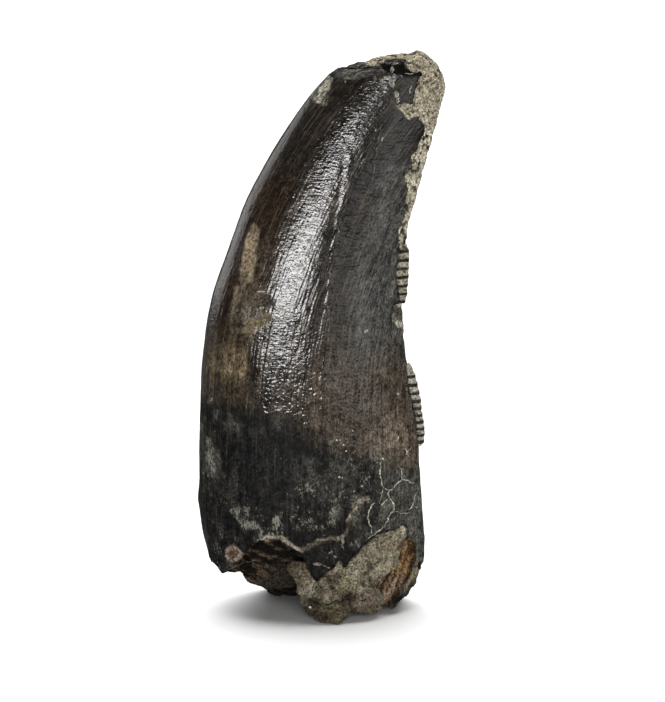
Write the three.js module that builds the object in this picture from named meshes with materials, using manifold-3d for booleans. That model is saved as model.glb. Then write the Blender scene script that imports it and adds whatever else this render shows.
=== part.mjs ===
// Tyrannosaurus tooth: the upper part of a crown, broken off at both ends. The tooth itself is one
// grown piece; the sandstone in its pulp cavity and the crust on its apex are separate pieces.
// Millimetres. X runs from the mesial to the distal (serrated) edge, Y to the back and Z up.
import * as THREE from 'three';
import { mergeVertices } from 'three/addons/utils/BufferGeometryUtils.js';
import Module from 'manifold-3d';

const wasm = await Module();
wasm.setup();

// ---- Driving dimensions ------------------------------------------------------------------

// Cross-sections up the tooth. Each lies on the chord from the mesial to the distal edge:
// [mesialX, mesialZ, distalX, distalZ, half thickness, how far its middle leans to the back].
const STATIONS = [
  [-10.2, -2.0, 10.2, -3.0, 7.1, 0.0],
  [-10.95, 4.4, 10.3, 3.5, 7.25, 0.0],
  [-12.05, 9.2, 10.15, 8.5, 7.35, 0.0],
  [-12.35, 14.5, 9.8, 13.5, 7.4, 0.0],
  [-12.3, 20.5, 9.1, 19.5, 7.3, 0.05],
  [-12.0, 26.0, 8.45, 25.1, 7.1, 0.15],
  [-11.1, 31.9, 7.9, 30.6, 6.75, 0.25],
  [-9.6, 36.4, 7.7, 35.1, 6.3, 0.4],
  [-7.75, 41.5, 8.45, 39.4, 5.75, 0.6],
  [-5.6, 45.75, 9.6, 43.6, 5.15, 0.75],
  [-3.1, 49.85, 10.75, 47.65, 4.5, 0.9],
  [-0.5, 53.3, 11.6, 50.75, 3.95, 1.0],
  [2.4, 56.1, 12.3, 53.4, 3.45, 1.1],
  [5.5, 58.2, 12.8, 55.8, 3.0, 1.15],
  [8.0, 59.8, 13.1, 57.8, 2.5, 1.2],
];

// Where a section is thickest, as a share of its chord from the mesial edge, and how round that edge is.
const FRONT_PEAK = 0.38;
const BACK_PEAK = 0.44;
const EDGE_ROUNDNESS = 0.5;

// A shallow fold runs up the front face: a groove, and a low ridge on its distal side.
const GROOVE_SHARE = 0.6;
const GROOVE_DEPTH = 0.35;
const RIDGE_SHARE = 0.72;
const RIDGE_HEIGHT = 0.25;
const FOLD_WIDTH = 0.055;
const FOLD_FROM = 0.3;
const FOLD_TO = 0.85;

// Denticles on the distal edge, as two runs where they are not worn away: [lowest Z, highest Z].
const DENTICLE_RUNS = [
  [17.2, 25.1],
  [31.7, 37.1],
];
const DENTICLE_PITCH = 0.845;
const DENTICLE_HEIGHT = 0.56;
const DENTICLE_REACH = 0.72;
const DENTICLE_THICKNESS = 1.25;
const DENTICLE_ROOT = 1.1;

// The break at the apex, as [X, Z] along the top, and how fast it falls to the front and back.
const APEX_BREAK = [
  [-4.0, 52.5], [1.2, 55.0], [3.2, 55.5], [5.0, 56.1], [6.9, 56.6], [9.2, 57.0],
  [10.1, 56.8], [11.4, 55.9], [12.1, 54.6], [12.5, 53.3], [13.5, 50.5],
];
const APEX_FALL = 0.08;
const APEX_LEAN = 1.1;

// Lower rim of the crown as [X, Z]: on the front face, half way through the front wall, and at the back.
const FRONT_RIM = [
  [-13.0, 5.6], [-10.9, 5.2], [-9.75, 4.7], [-8.4, 5.8], [-7.3, 7.7], [-5.9, 8.8], [-4.3, 8.6],
  [-2.8, 7.4], [-1.6, 6.3], [-0.55, 4.1], [1.4, 6.4], [2.4, 5.9], [4.0, 7.7], [5.8, 9.0],
  [7.4, 9.3], [8.5, 8.7], [9.45, 7.0], [10.2, 5.1], [10.6, 3.5], [12.0, 2.0],
];
const WALL_RIM = [
  [-13.0, 5.6], [-10.9, 5.1], [-9.75, 4.6], [-8.4, 4.7], [-7.9, 4.2], [-7.3, 3.6], [-6.4, 3.1],
  [-5.0, 2.7], [-2.0, 2.6], [4.0, 3.0], [6.9, 0.6], [8.2, 1.6], [9.5, 3.3], [10.2, 5.0], [12.0, 6.0],
];
const BACK_RIM = [
  [-13.0, 5.6], [-10.9, 5.0], [-9.75, 4.3], [-8.4, 3.3], [-7.0, 2.0], [-5.6, 0.5], [-4.9, -0.6], [-2.2, -0.7],
  [-1.0, 0.9], [3.0, 1.1], [4.6, -0.7], [7.3, -0.7], [8.2, 1.0], [9.5, 3.2], [10.2, 5.0], [12.0, 6.0],
];
const FRONT_RIM_Y = -6.2;
const WALL_RIM_Y = -3.6;
const BACK_RIM_Y = 5.2;

// The pulp cavity, open below: [centre X, Z, half length, half thickness] from bottom to top.
const PULP = [
  [-0.6, -3.0, 6.9, 4.0],
  [-0.7, 2.0, 6.6, 3.8],
  [-0.9, 6.0, 5.8, 3.3],
  [-1.1, 9.0, 4.4, 2.5],
  [-1.2, 11.2, 2.6, 1.5],
  [-1.3, 12.3, 0.9, 0.5],
];

// Window in the front wall where the sandstone shows, as [X, Z] corners seen from the front.
const WINDOW = [
  [-1.7, -1.0], [-2.2, 3.0], [-2.4, 6.6], [-1.7, 6.4], [-0.55, 4.1], [0.4, 4.9], [1.4, 6.3], [2.4, 5.8],
  [4.0, 7.7], [5.8, 9.0], [7.4, 9.4], [8.4, 8.8], [8.2, 6.5], [7.3, 4.5], [6.4, 2.5], [5.8, -1.0],
];
const WINDOW_BACK_Y = -1.5;
// The broken distal wall beside the window, set back from the outer face.
const STRIP = [
  [5.5, -1.0], [6.2, 2.5], [7.2, 4.5], [8.1, 6.5], [8.3, 8.9], [9.3, 7.2], [9.6, 5.0], [8.6, 2.4],
  [7.2, -1.0],
];
const STRIP_DEPTH = 0.9;

// Scar where a flake of enamel has come off the mesial side of the front face.
const SCAR = [
  [-6.95, 40.7], [-6.3, 39.8], [-6.5, 37.5], [-6.85, 35.5], [-6.95, 34.0], [-4.95, 33.5], [-5.05, 31.8],
  [-6.05, 30.4], [-7.25, 29.4], [-8.65, 28.9], [-9.05, 30.8], [-9.0, 34.4], [-8.3, 34.7], [-7.85, 37.2],
];
const SCAR_DEPTH = 0.28;

// Sandstone lumps under the window: [X, Y, Z, radius].
const LUMPS = [
  [0.9, -5.4, 1.2, 1.75],
  [2.4, -5.0, 1.6, 1.7],
  [-0.9, -4.6, 1.5, 1.25],
  [4.3, -4.2, 1.9, 1.6],
  [-1.6, -3.6, 3.6, 1.3],
];
const MATRIX_FLOOR = [
  [-9.0, 4.6], [-3.6, 3.6], [-2.4, 3.2], [-1.7, 0.4], [6.0, 0.3], [9.0, 1.5],
];
const FACE_INSET = 0.35;

// Lower edge of the apex crust, as [X, Z] corners on the front face and at the back.
const CRUST_FRONT = [
  [4.6, 60.0], [5.3, 55.7], [7.0, 55.8], [8.4, 55.2], [9.5, 54.8], [9.1, 52.0], [8.6, 51.2],
  [9.0, 50.6], [9.9, 50.2], [11.2, 49.4], [15.0, 49.2], [15.0, 60.0],
];
const CRUST_BACK = [
  [4.0, 60.0], [4.6, 55.2], [6.2, 54.2], [7.4, 53.4], [8.4, 52.6], [8.6, 51.8], [8.8, 51.1],
  [9.3, 50.6], [10.1, 50.1], [11.2, 49.4], [15.0, 49.2], [15.0, 60.0],
];

// Clearance between the tooth and the sandstone.
const GAP = 0.25;
const ROWS = 42;
const AROUND = 40;
const OUTSIDE = 12;

// ---- Small helpers -----------------------------------------------------------------------

// Height on a broken line of [x, z] corners.
function along(corners, x) {
  if (x <= corners[0][0]) return corners[0][1];
  for (let i = 1; i < corners.length; i += 1) {
    const [x0, z0] = corners[i - 1];
    const [x1, z1] = corners[i];
    if (x <= x1) return z0 + ((z1 - z0) * (x - x0)) / (x1 - x0);
  }
  return corners[corners.length - 1][1];
}

function smoothstep(from, to, value) {
  return THREE.MathUtils.smoothstep(value, from, to);
}

// Uneven surface of a break: a few waves that never line up.
function unevenness(x, y) {
  const broad = Math.sin(1.3 * x + 0.6 * y + 0.4) * Math.sin(1.1 * y - 0.5 * x + 1.2);
  const fine = Math.sin(3.7 * x - 2.1 * y) * Math.sin(2.9 * y + 1.7 * x + 0.8);
  return 0.3 * broad + 0.22 * fine;
}

// Solid from a closed geometry, and back. Only positions are kept, so shared corners merge.
function solidOf(geometry) {
  const bare = geometry.clone();
  bare.deleteAttribute('normal');
  bare.deleteAttribute('uv');
  const merged = mergeVertices(bare, 1e-4);
  const vertProperties = new Float32Array(merged.attributes.position.array);
  const triVerts = new Uint32Array(merged.index.array);
  return new wasm.Manifold(new wasm.Mesh({ numProp: 3, vertProperties, triVerts }));
}

function geometryOf(solid) {
  const mesh = solid.getMesh();
  const geometry = new THREE.BufferGeometry();
  geometry.setAttribute('position', new THREE.BufferAttribute(new Float32Array(mesh.vertProperties), 3));
  geometry.setIndex(new THREE.BufferAttribute(new Uint32Array(mesh.triVerts), 1));
  geometry.computeVertexNormals();
  return geometry;
}

// ---- The tooth's outer form --------------------------------------------------------------

const mesialEdge = new THREE.CatmullRomCurve3(STATIONS.map(([x, z]) => new THREE.Vector3(x, 0, z)));
const distalEdge = new THREE.CatmullRomCurve3(STATIONS.map((row) => new THREE.Vector3(row[2], 0, row[3])));
const girth = new THREE.SplineCurve(STATIONS.map((row) => new THREE.Vector2(row[4], row[5])));

// Height of a section above its chord, 0 at both edges and 1 at its thickest place.
function bulge(share, peak) {
  const distalPower = (EDGE_ROUNDNESS * (1 - peak)) / peak;
  return (share / peak) ** EDGE_ROUNDNESS * ((1 - share) / (1 - peak)) ** distalPower;
}

function fold(share, height) {
  const strength = smoothstep(FOLD_FROM, FOLD_FROM + 0.15, height)
    * (1 - smoothstep(FOLD_TO - 0.15, FOLD_TO, height));
  const groove = Math.exp(-(((share - GROOVE_SHARE) / FOLD_WIDTH) ** 2));
  const ridge = Math.exp(-(((share - RIDGE_SHARE) / FOLD_WIDTH) ** 2));
  return strength * (RIDGE_HEIGHT * ridge - GROOVE_DEPTH * groove);
}

// The whole form before its breaks, made smaller by an inset on its front and back faces.
function toothForm(inset = 0) {
  const geometry = new THREE.CylinderGeometry(1, 1, 1, AROUND, ROWS);
  const corner = geometry.attributes.position;
  for (let i = 0; i < corner.count; i += 1) {
    const height = corner.getY(i) + 0.5;
    const side = corner.getZ(i);
    const share = THREE.MathUtils.clamp((1 - corner.getX(i)) / 2, 0, 1);
    const onFace = Math.abs(side) > 1e-6 && share > 1e-6 && share < 1 - 1e-6;
    const mesial = mesialEdge.getPoint(height);
    const distal = distalEdge.getPoint(height);
    const [halfThickness, lean] = girth.getPoint(height).toArray();
    let depth = 0;
    if (onFace) {
      const peak = side > 0 ? BACK_PEAK : FRONT_PEAK;
      const relief = side > 0 ? 0 : fold(share, height);
      depth = Math.max(halfThickness * bulge(share, peak) + relief - inset, 0.05) * Math.sign(side);
    }
    corner.setXYZ(
      i,
      mesial.x + (distal.x - mesial.x) * share,
      lean + depth,
      mesial.z + (distal.z - mesial.z) * share,
    );
  }
  return solidOf(geometry);
}

// ---- Cutters -----------------------------------------------------------------------------

// A block under (or over) an uneven surface, wider than the tooth.
function blockTo(surface, flatZ, columns, rows) {
  const geometry = new THREE.BoxGeometry(2 * OUTSIDE + 6, 2 * OUTSIDE, 1, columns, rows, 1);
  const corner = geometry.attributes.position;
  const flatSide = Math.sign(flatZ - surface(0, 0));
  for (let i = 0; i < corner.count; i += 1) {
    const isFlat = Math.sign(corner.getZ(i)) === flatSide;
    corner.setZ(i, isFlat ? flatZ : surface(corner.getX(i), corner.getY(i)));
  }
  return solidOf(geometry);
}

function crownRim(x, y) {
  const front = along(FRONT_RIM, x);
  const wall = along(WALL_RIM, x);
  const back = along(BACK_RIM, x);
  const toWall = smoothstep(FRONT_RIM_Y, WALL_RIM_Y, y);
  const toBack = smoothstep(WALL_RIM_Y, BACK_RIM_Y, y);
  return front + (wall - front) * toWall + (back - wall) * toBack + 0.6 * unevenness(x, y);
}

function apexBreak(x, y) {
  return along(APEX_BREAK, x) - APEX_FALL * (y - APEX_LEAN) ** 2 + 0.35 * unevenness(1.4 * x, 1.4 * y);
}

function matrixFloor(x, y) {
  return along(MATRIX_FLOOR, x) + 1.6 * smoothstep(-2, 3, y) + unevenness(1.3 * x + 2, 1.3 * y);
}

// A straight prism through the tooth from front to back, from corners seen from the front.
function prism(corners, frontY, backY, grow = 0) {
  const outline = new THREE.Shape(corners.map(([x, z]) => new THREE.Vector2(x, z)));
  const geometry = new THREE.ExtrudeGeometry(outline, {
    depth: backY - frontY,
    steps: 1,
    bevelEnabled: grow > 0,
    bevelThickness: grow,
    bevelSize: grow,
    bevelSegments: 1,
  });
  geometry.rotateX(Math.PI / 2);
  geometry.translate(0, backY, 0);
  return solidOf(geometry);
}

// A loft between two outlines with the same number of corners, one in front and one behind.
function loftThrough(frontCorners, backCorners) {
  const front = new THREE.Shape(frontCorners.map(([x, z]) => new THREE.Vector2(x, z)));
  const geometry = new THREE.ExtrudeGeometry(front, { depth: 1, steps: 1, bevelEnabled: false });
  const corner = geometry.attributes.position;
  for (let i = 0; i < corner.count; i += 1) {
    const isBack = corner.getZ(i) > 0.5;
    const x = corner.getX(i);
    const z = corner.getY(i);
    const at = frontCorners.findIndex(([cx, cz]) => Math.hypot(cx - x, cz - z) < 1e-4);
    const [toX, toZ] = isBack ? backCorners[at] : frontCorners[at];
    corner.setXYZ(i, toX, isBack ? OUTSIDE : -OUTSIDE, toZ);
  }
  const index = Array.from({ length: corner.count }, (_, i) => i);
  geometry.setIndex(index.map((i) => (i % 3 === 0 ? i : i % 3 === 1 ? i + 1 : i - 1)));
  return solidOf(geometry);
}

// The pulp cavity's form, an oval tube that closes upward.
function pulpForm(grow) {
  const middle = new THREE.CatmullRomCurve3(PULP.map(([x, z]) => new THREE.Vector3(x, 0, z)));
  const reach = new THREE.SplineCurve(PULP.map((row) => new THREE.Vector2(row[2], row[3])));
  const geometry = new THREE.CylinderGeometry(1, 1, 1, 24, 12);
  const corner = geometry.attributes.position;
  for (let i = 0; i < corner.count; i += 1) {
    const height = corner.getY(i) + 0.5;
    const centre = middle.getPoint(height);
    const [halfLength, halfThickness] = reach.getPoint(height).toArray();
    corner.setXYZ(
      i,
      centre.x - corner.getX(i) * (halfLength + grow),
      corner.getZ(i) * (halfThickness + grow),
      centre.z + (height > 0.99 ? grow : 0),
    );
  }
  return solidOf(geometry);
}

// ---- Denticles ---------------------------------------------------------------------------

// Distal edge at a height, and its direction there.
function distalAt(z) {
  let low = 0;
  let high = 1;
  for (let i = 0; i < 30; i += 1) {
    const middle = (low + high) / 2;
    if (distalEdge.getPoint(middle).z < z) low = middle;
    else high = middle;
  }
  return { point: distalEdge.getPoint(low), tangent: distalEdge.getTangent(low), height: low };
}

// One denticle: a chisel with a rounded end, its root sunk in the edge.
function denticle(z) {
  const { point, tangent, height } = distalAt(z);
  const half = DENTICLE_HEIGHT / 2;
  const outline = new THREE.Shape();
  outline.moveTo(-DENTICLE_ROOT, -half);
  outline.lineTo(DENTICLE_REACH - half, -half);
  outline.absarc(DENTICLE_REACH - half, 0, half, -Math.PI / 2, Math.PI / 2, false);
  outline.lineTo(-DENTICLE_ROOT, half);
  const geometry = new THREE.ExtrudeGeometry(outline, {
    depth: DENTICLE_THICKNESS * 0.5,
    steps: 1,
    curveSegments: 5,
    bevelEnabled: true,
    bevelThickness: DENTICLE_THICKNESS * 0.25,
    bevelSize: 0.12,
    bevelOffset: -0.12,
    bevelSegments: 1,
  });
  geometry.translate(0, 0, -DENTICLE_THICKNESS * 0.25);
  geometry.rotateX(Math.PI / 2);
  geometry.rotateY(-Math.atan2(tangent.z, tangent.x) + Math.PI / 2);
  geometry.translate(point.x, girth.getPoint(height).y, point.z);
  return solidOf(geometry);
}

function denticles() {
  const row = [];
  DENTICLE_RUNS.forEach(([lowest, highest]) => {
    for (let z = lowest + DENTICLE_PITCH / 2; z < highest; z += DENTICLE_PITCH) row.push(denticle(z));
  });
  return row;
}

// ---- The pieces --------------------------------------------------------------------------

const groundTrim = prism([[-30, -10], [30, -10], [30, 0], [-30, 0]], -30, 30);
const brokenTooth = toothForm()
  .subtract(blockTo(apexBreak, 70, 30, 20))
  .subtract(groundTrim);
const crustForm = loftThrough(CRUST_FRONT, CRUST_BACK);

function lumps(grow) {
  return LUMPS.map(([x, y, z, radius]) => {
    const lump = new THREE.IcosahedronGeometry(radius + grow, 2);
    lump.scale(1.15, 0.95, 0.9);
    lump.translate(x, y, z);
    return solidOf(lump);
  });
}

function makeCrown() {
  let crown = brokenTooth
    .subtract(blockTo(crownRim, -8, 34, 24))
    .subtract(prism(WINDOW, -OUTSIDE, WINDOW_BACK_Y, GAP))
    .subtract(pulpForm(GAP))
    .subtract(prism(STRIP, -OUTSIDE, WINDOW_BACK_Y + 1).subtract(toothForm(STRIP_DEPTH)))
    .subtract(prism(SCAR, -OUTSIDE, WINDOW_BACK_Y).subtract(toothForm(SCAR_DEPTH)));
  lumps(GAP).forEach((lump) => {
    crown = crown.subtract(lump);
  });
  denticles().forEach((one) => {
    crown = crown.add(one);
  });
  return crown.subtract(crustForm);
}

function makeBaseMatrix() {
  const behindWindow = prism(WINDOW, -OUTSIDE, WINDOW_BACK_Y);
  let matrix = toothForm(FACE_INSET).intersect(behindWindow).add(pulpForm(0));
  matrix = matrix.subtract(blockTo(matrixFloor, -8, 28, 20));
  lumps(0).forEach((lump) => {
    matrix = matrix.add(lump);
  });
  return matrix.subtract(groundTrim);
}

function makeTipMatrix() {
  return brokenTooth.intersect(crustForm.translate([GAP, 0, GAP]));
}

const enamel = new THREE.MeshStandardMaterial({ color: 0x2e2a26, roughness: 0.32, metalness: 0 });
const sandstone = new THREE.MeshStandardMaterial({ color: 0x8f8770, roughness: 0.95, metalness: 0 });

function piece(name, solid, material) {
  const mesh = new THREE.Mesh(geometryOf(solid), material);
  mesh.name = name;
  return mesh;
}

const tooth = new THREE.Group();
tooth.add(piece('tooth_crown', makeCrown(), enamel));
tooth.add(piece('base_matrix', makeBaseMatrix(), sandstone));
tooth.add(piece('tip_matrix', makeTipMatrix(), sandstone));

// The origin is the middle of the footprint of the whole tooth.
const reach = new THREE.Box3().setFromObject(tooth);
const centre = reach.getCenter(new THREE.Vector3());
tooth.position.set(-centre.x, -centre.y, -reach.min.z);

export default tooth;
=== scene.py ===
# Tyrannosaurus tooth: the looks of the broken crown, of the sandstone in its cavity and on its apex,
# and of the serrated edge. Lengths are millimetres until a mesh is made, where they become metres.
import functools
import math

import bpy
import numpy as np
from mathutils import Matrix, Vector
from mathutils.bvhtree import BVHTree


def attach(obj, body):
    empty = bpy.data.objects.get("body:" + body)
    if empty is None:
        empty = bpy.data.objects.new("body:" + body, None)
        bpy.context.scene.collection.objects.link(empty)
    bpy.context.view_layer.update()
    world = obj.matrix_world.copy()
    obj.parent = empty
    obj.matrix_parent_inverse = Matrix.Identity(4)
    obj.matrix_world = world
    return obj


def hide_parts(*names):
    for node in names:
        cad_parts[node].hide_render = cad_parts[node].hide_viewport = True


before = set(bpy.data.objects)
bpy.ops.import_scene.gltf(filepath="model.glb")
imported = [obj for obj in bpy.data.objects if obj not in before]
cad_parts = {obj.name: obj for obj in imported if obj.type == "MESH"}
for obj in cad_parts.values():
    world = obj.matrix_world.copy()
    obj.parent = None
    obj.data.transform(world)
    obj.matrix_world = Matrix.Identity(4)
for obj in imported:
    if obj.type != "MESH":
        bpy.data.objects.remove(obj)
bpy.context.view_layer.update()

MM = 0.001
SEED = 20
rng = np.random.default_rng(SEED)

# ---- The view plane ----
# The photograph looks down by this angle. Details of the front face are outlined on the plane
# square to that view, in the photograph's pixels, and then lie wherever the surface is.
VIEW_DOWN = math.radians(14)
VIEW_COS = math.cos(VIEW_DOWN)
VIEW_SIN = math.sin(VIEW_DOWN)
PX_PER_MM = 10.0
ORIGIN_PX = (322.5, 608.5)
PHOTO_PX = (665, 702)

# Tables are kept on this grid of the view plane or of the X-Z plane.
TABLE_STEP = 0.1
TABLE_LOW = (-14.5, -4.0)
TABLE_SHAPE = (291, 661)

# ---- The tooth's measures ----
# They are the solids' measures, with corrections that the photograph asks for: to the mesial
# corner, the breaks at both ends, the sandstone's lumps, and the ridge and groove, which are lower.
# Sections on chords: [mesial X, mesial Z, distal X, distal Z, half thickness, lean to the back].
STATIONS = [
    (-10.6, -2.0, 10.2, -3.0, 7.1, 0.0),
    (-11.3, 4.4, 10.3, 3.5, 7.25, 0.0),
    (-12.25, 9.2, 10.15, 8.5, 7.35, 0.0),
    (-12.35, 14.5, 9.8, 13.5, 7.4, 0.0),
    (-12.3, 20.5, 9.1, 19.5, 7.3, 0.05),
    (-12.0, 26.0, 8.45, 25.1, 7.1, 0.15),
    (-11.1, 31.9, 7.9, 30.6, 6.75, 0.25),
    (-9.6, 36.4, 7.7, 35.1, 6.3, 0.4),
    (-7.75, 41.5, 8.45, 39.4, 5.75, 0.6),
    (-5.6, 45.75, 9.6, 43.6, 5.15, 0.75),
    (-3.1, 49.85, 10.75, 47.65, 4.5, 0.9),
    (-0.5, 53.3, 11.6, 50.75, 3.95, 1.0),
    (2.4, 56.1, 12.3, 53.4, 3.45, 1.1),
    (5.5, 58.2, 12.8, 55.8, 3.0, 1.15),
    (8.0, 59.8, 13.1, 57.8, 2.5, 1.2),
]
FRONT_PEAK = 0.38
BACK_PEAK = 0.44
# The low ridge down the front face, in the photograph's pixels, and the groove on its mesial side.
RIDGE_PX = [(360, 105), (355, 125), (350, 150), (345, 190), (335, 240), (329, 290), (325, 330), (321, 360)]
RIDGE_HEIGHT = 0.05
RIDGE_WIDTH = 0.17
GROOVE_DEPTH = 0.05
GROOVE_WIDTH = 0.30
GROOVE_OFFSET = 0.45

# The break at the apex, as (X, Z) along its top.
APEX_BREAK = [
    (-4.0, 52.3), (1.2, 54.8), (3.2, 55.4), (5.0, 55.9), (6.9, 56.35), (8.7, 56.4), (9.4, 56.85),
    (10.1, 56.5), (11.1, 55.7), (11.9, 54.4), (12.4, 52.9), (13.5, 50.2),
]
APEX_FALL = 0.08
APEX_LEAN = 1.1
# The lower rim, as (X, Z): on the front face, half way through the front wall, and at the back.
FRONT_RIM = [
    (-13.0, 5.6), (-10.9, 5.0), (-9.75, 4.3), (-8.4, 5.6), (-7.3, 7.7), (-5.9, 8.8), (-4.3, 8.6),
    (-2.8, 7.4), (-1.6, 6.3), (-0.55, 4.1), (1.4, 6.4), (2.4, 5.9), (4.0, 7.7), (5.8, 9.0),
    (7.4, 9.3), (8.5, 8.7), (9.45, 7.0), (10.2, 5.1), (10.6, 3.5), (12.0, 2.0),
]
WALL_RIM = [
    (-13.0, 5.6), (-10.9, 5.1), (-9.75, 4.6), (-8.4, 4.7), (-7.9, 4.2), (-7.3, 3.6), (-6.4, 3.1),
    (-5.0, 2.7), (-2.0, 2.6), (4.0, 3.0), (6.9, 0.6), (8.2, 1.6), (9.5, 3.3), (10.2, 5.0), (12.0, 6.0),
]
BACK_RIM = [
    (-13.0, 5.6), (-10.9, 5.0), (-9.75, 4.3), (-8.4, 3.3), (-7.0, 2.0), (-5.6, 0.5), (-4.9, -0.6),
    (-2.2, -0.7), (-1.0, 0.9), (3.0, 1.1), (4.6, -0.7), (7.3, -0.7), (8.2, 1.0), (9.5, 3.2),
    (10.2, 5.0), (12.0, 6.0),
]
FRONT_RIM_Y = -6.2
WALL_RIM_Y = -3.6
BACK_RIM_Y = 5.2
# The pulp cavity: (centre X, Z, half length, half thickness).
PULP = [
    (-0.6, -3.0, 6.9, 4.0), (-0.7, 2.0, 6.6, 3.8), (-0.9, 6.0, 5.8, 3.3), (-1.1, 9.0, 4.4, 2.5),
    (-1.2, 11.2, 2.6, 1.5), (-1.3, 12.3, 0.9, 0.5),
]
WINDOW_BACK_Y = -1.5
# Lumps of sandstone below the window: (X, Y, Z, radius), and how they are stretched.
LUMPS = [
    (0.9, -5.4, 1.2, 1.7), (2.4, -5.0, 1.6, 1.7), (-0.4, -4.7, 1.3, 1.15), (4.3, -4.2, 1.9, 1.6),
    (-1.0, -3.6, 3.5, 1.15),
]
LUMP_SCALE = (1.15, 0.95, 0.9)
# The sandstone's lower edge, as (X, Z).
MATRIX_FLOOR = [(-9.0, 4.6), (-3.6, 3.6), (-2.4, 3.2), (-1.1, 1.2), (-0.6, 0.4), (6.0, 0.3), (9.0, 1.5)]

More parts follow.
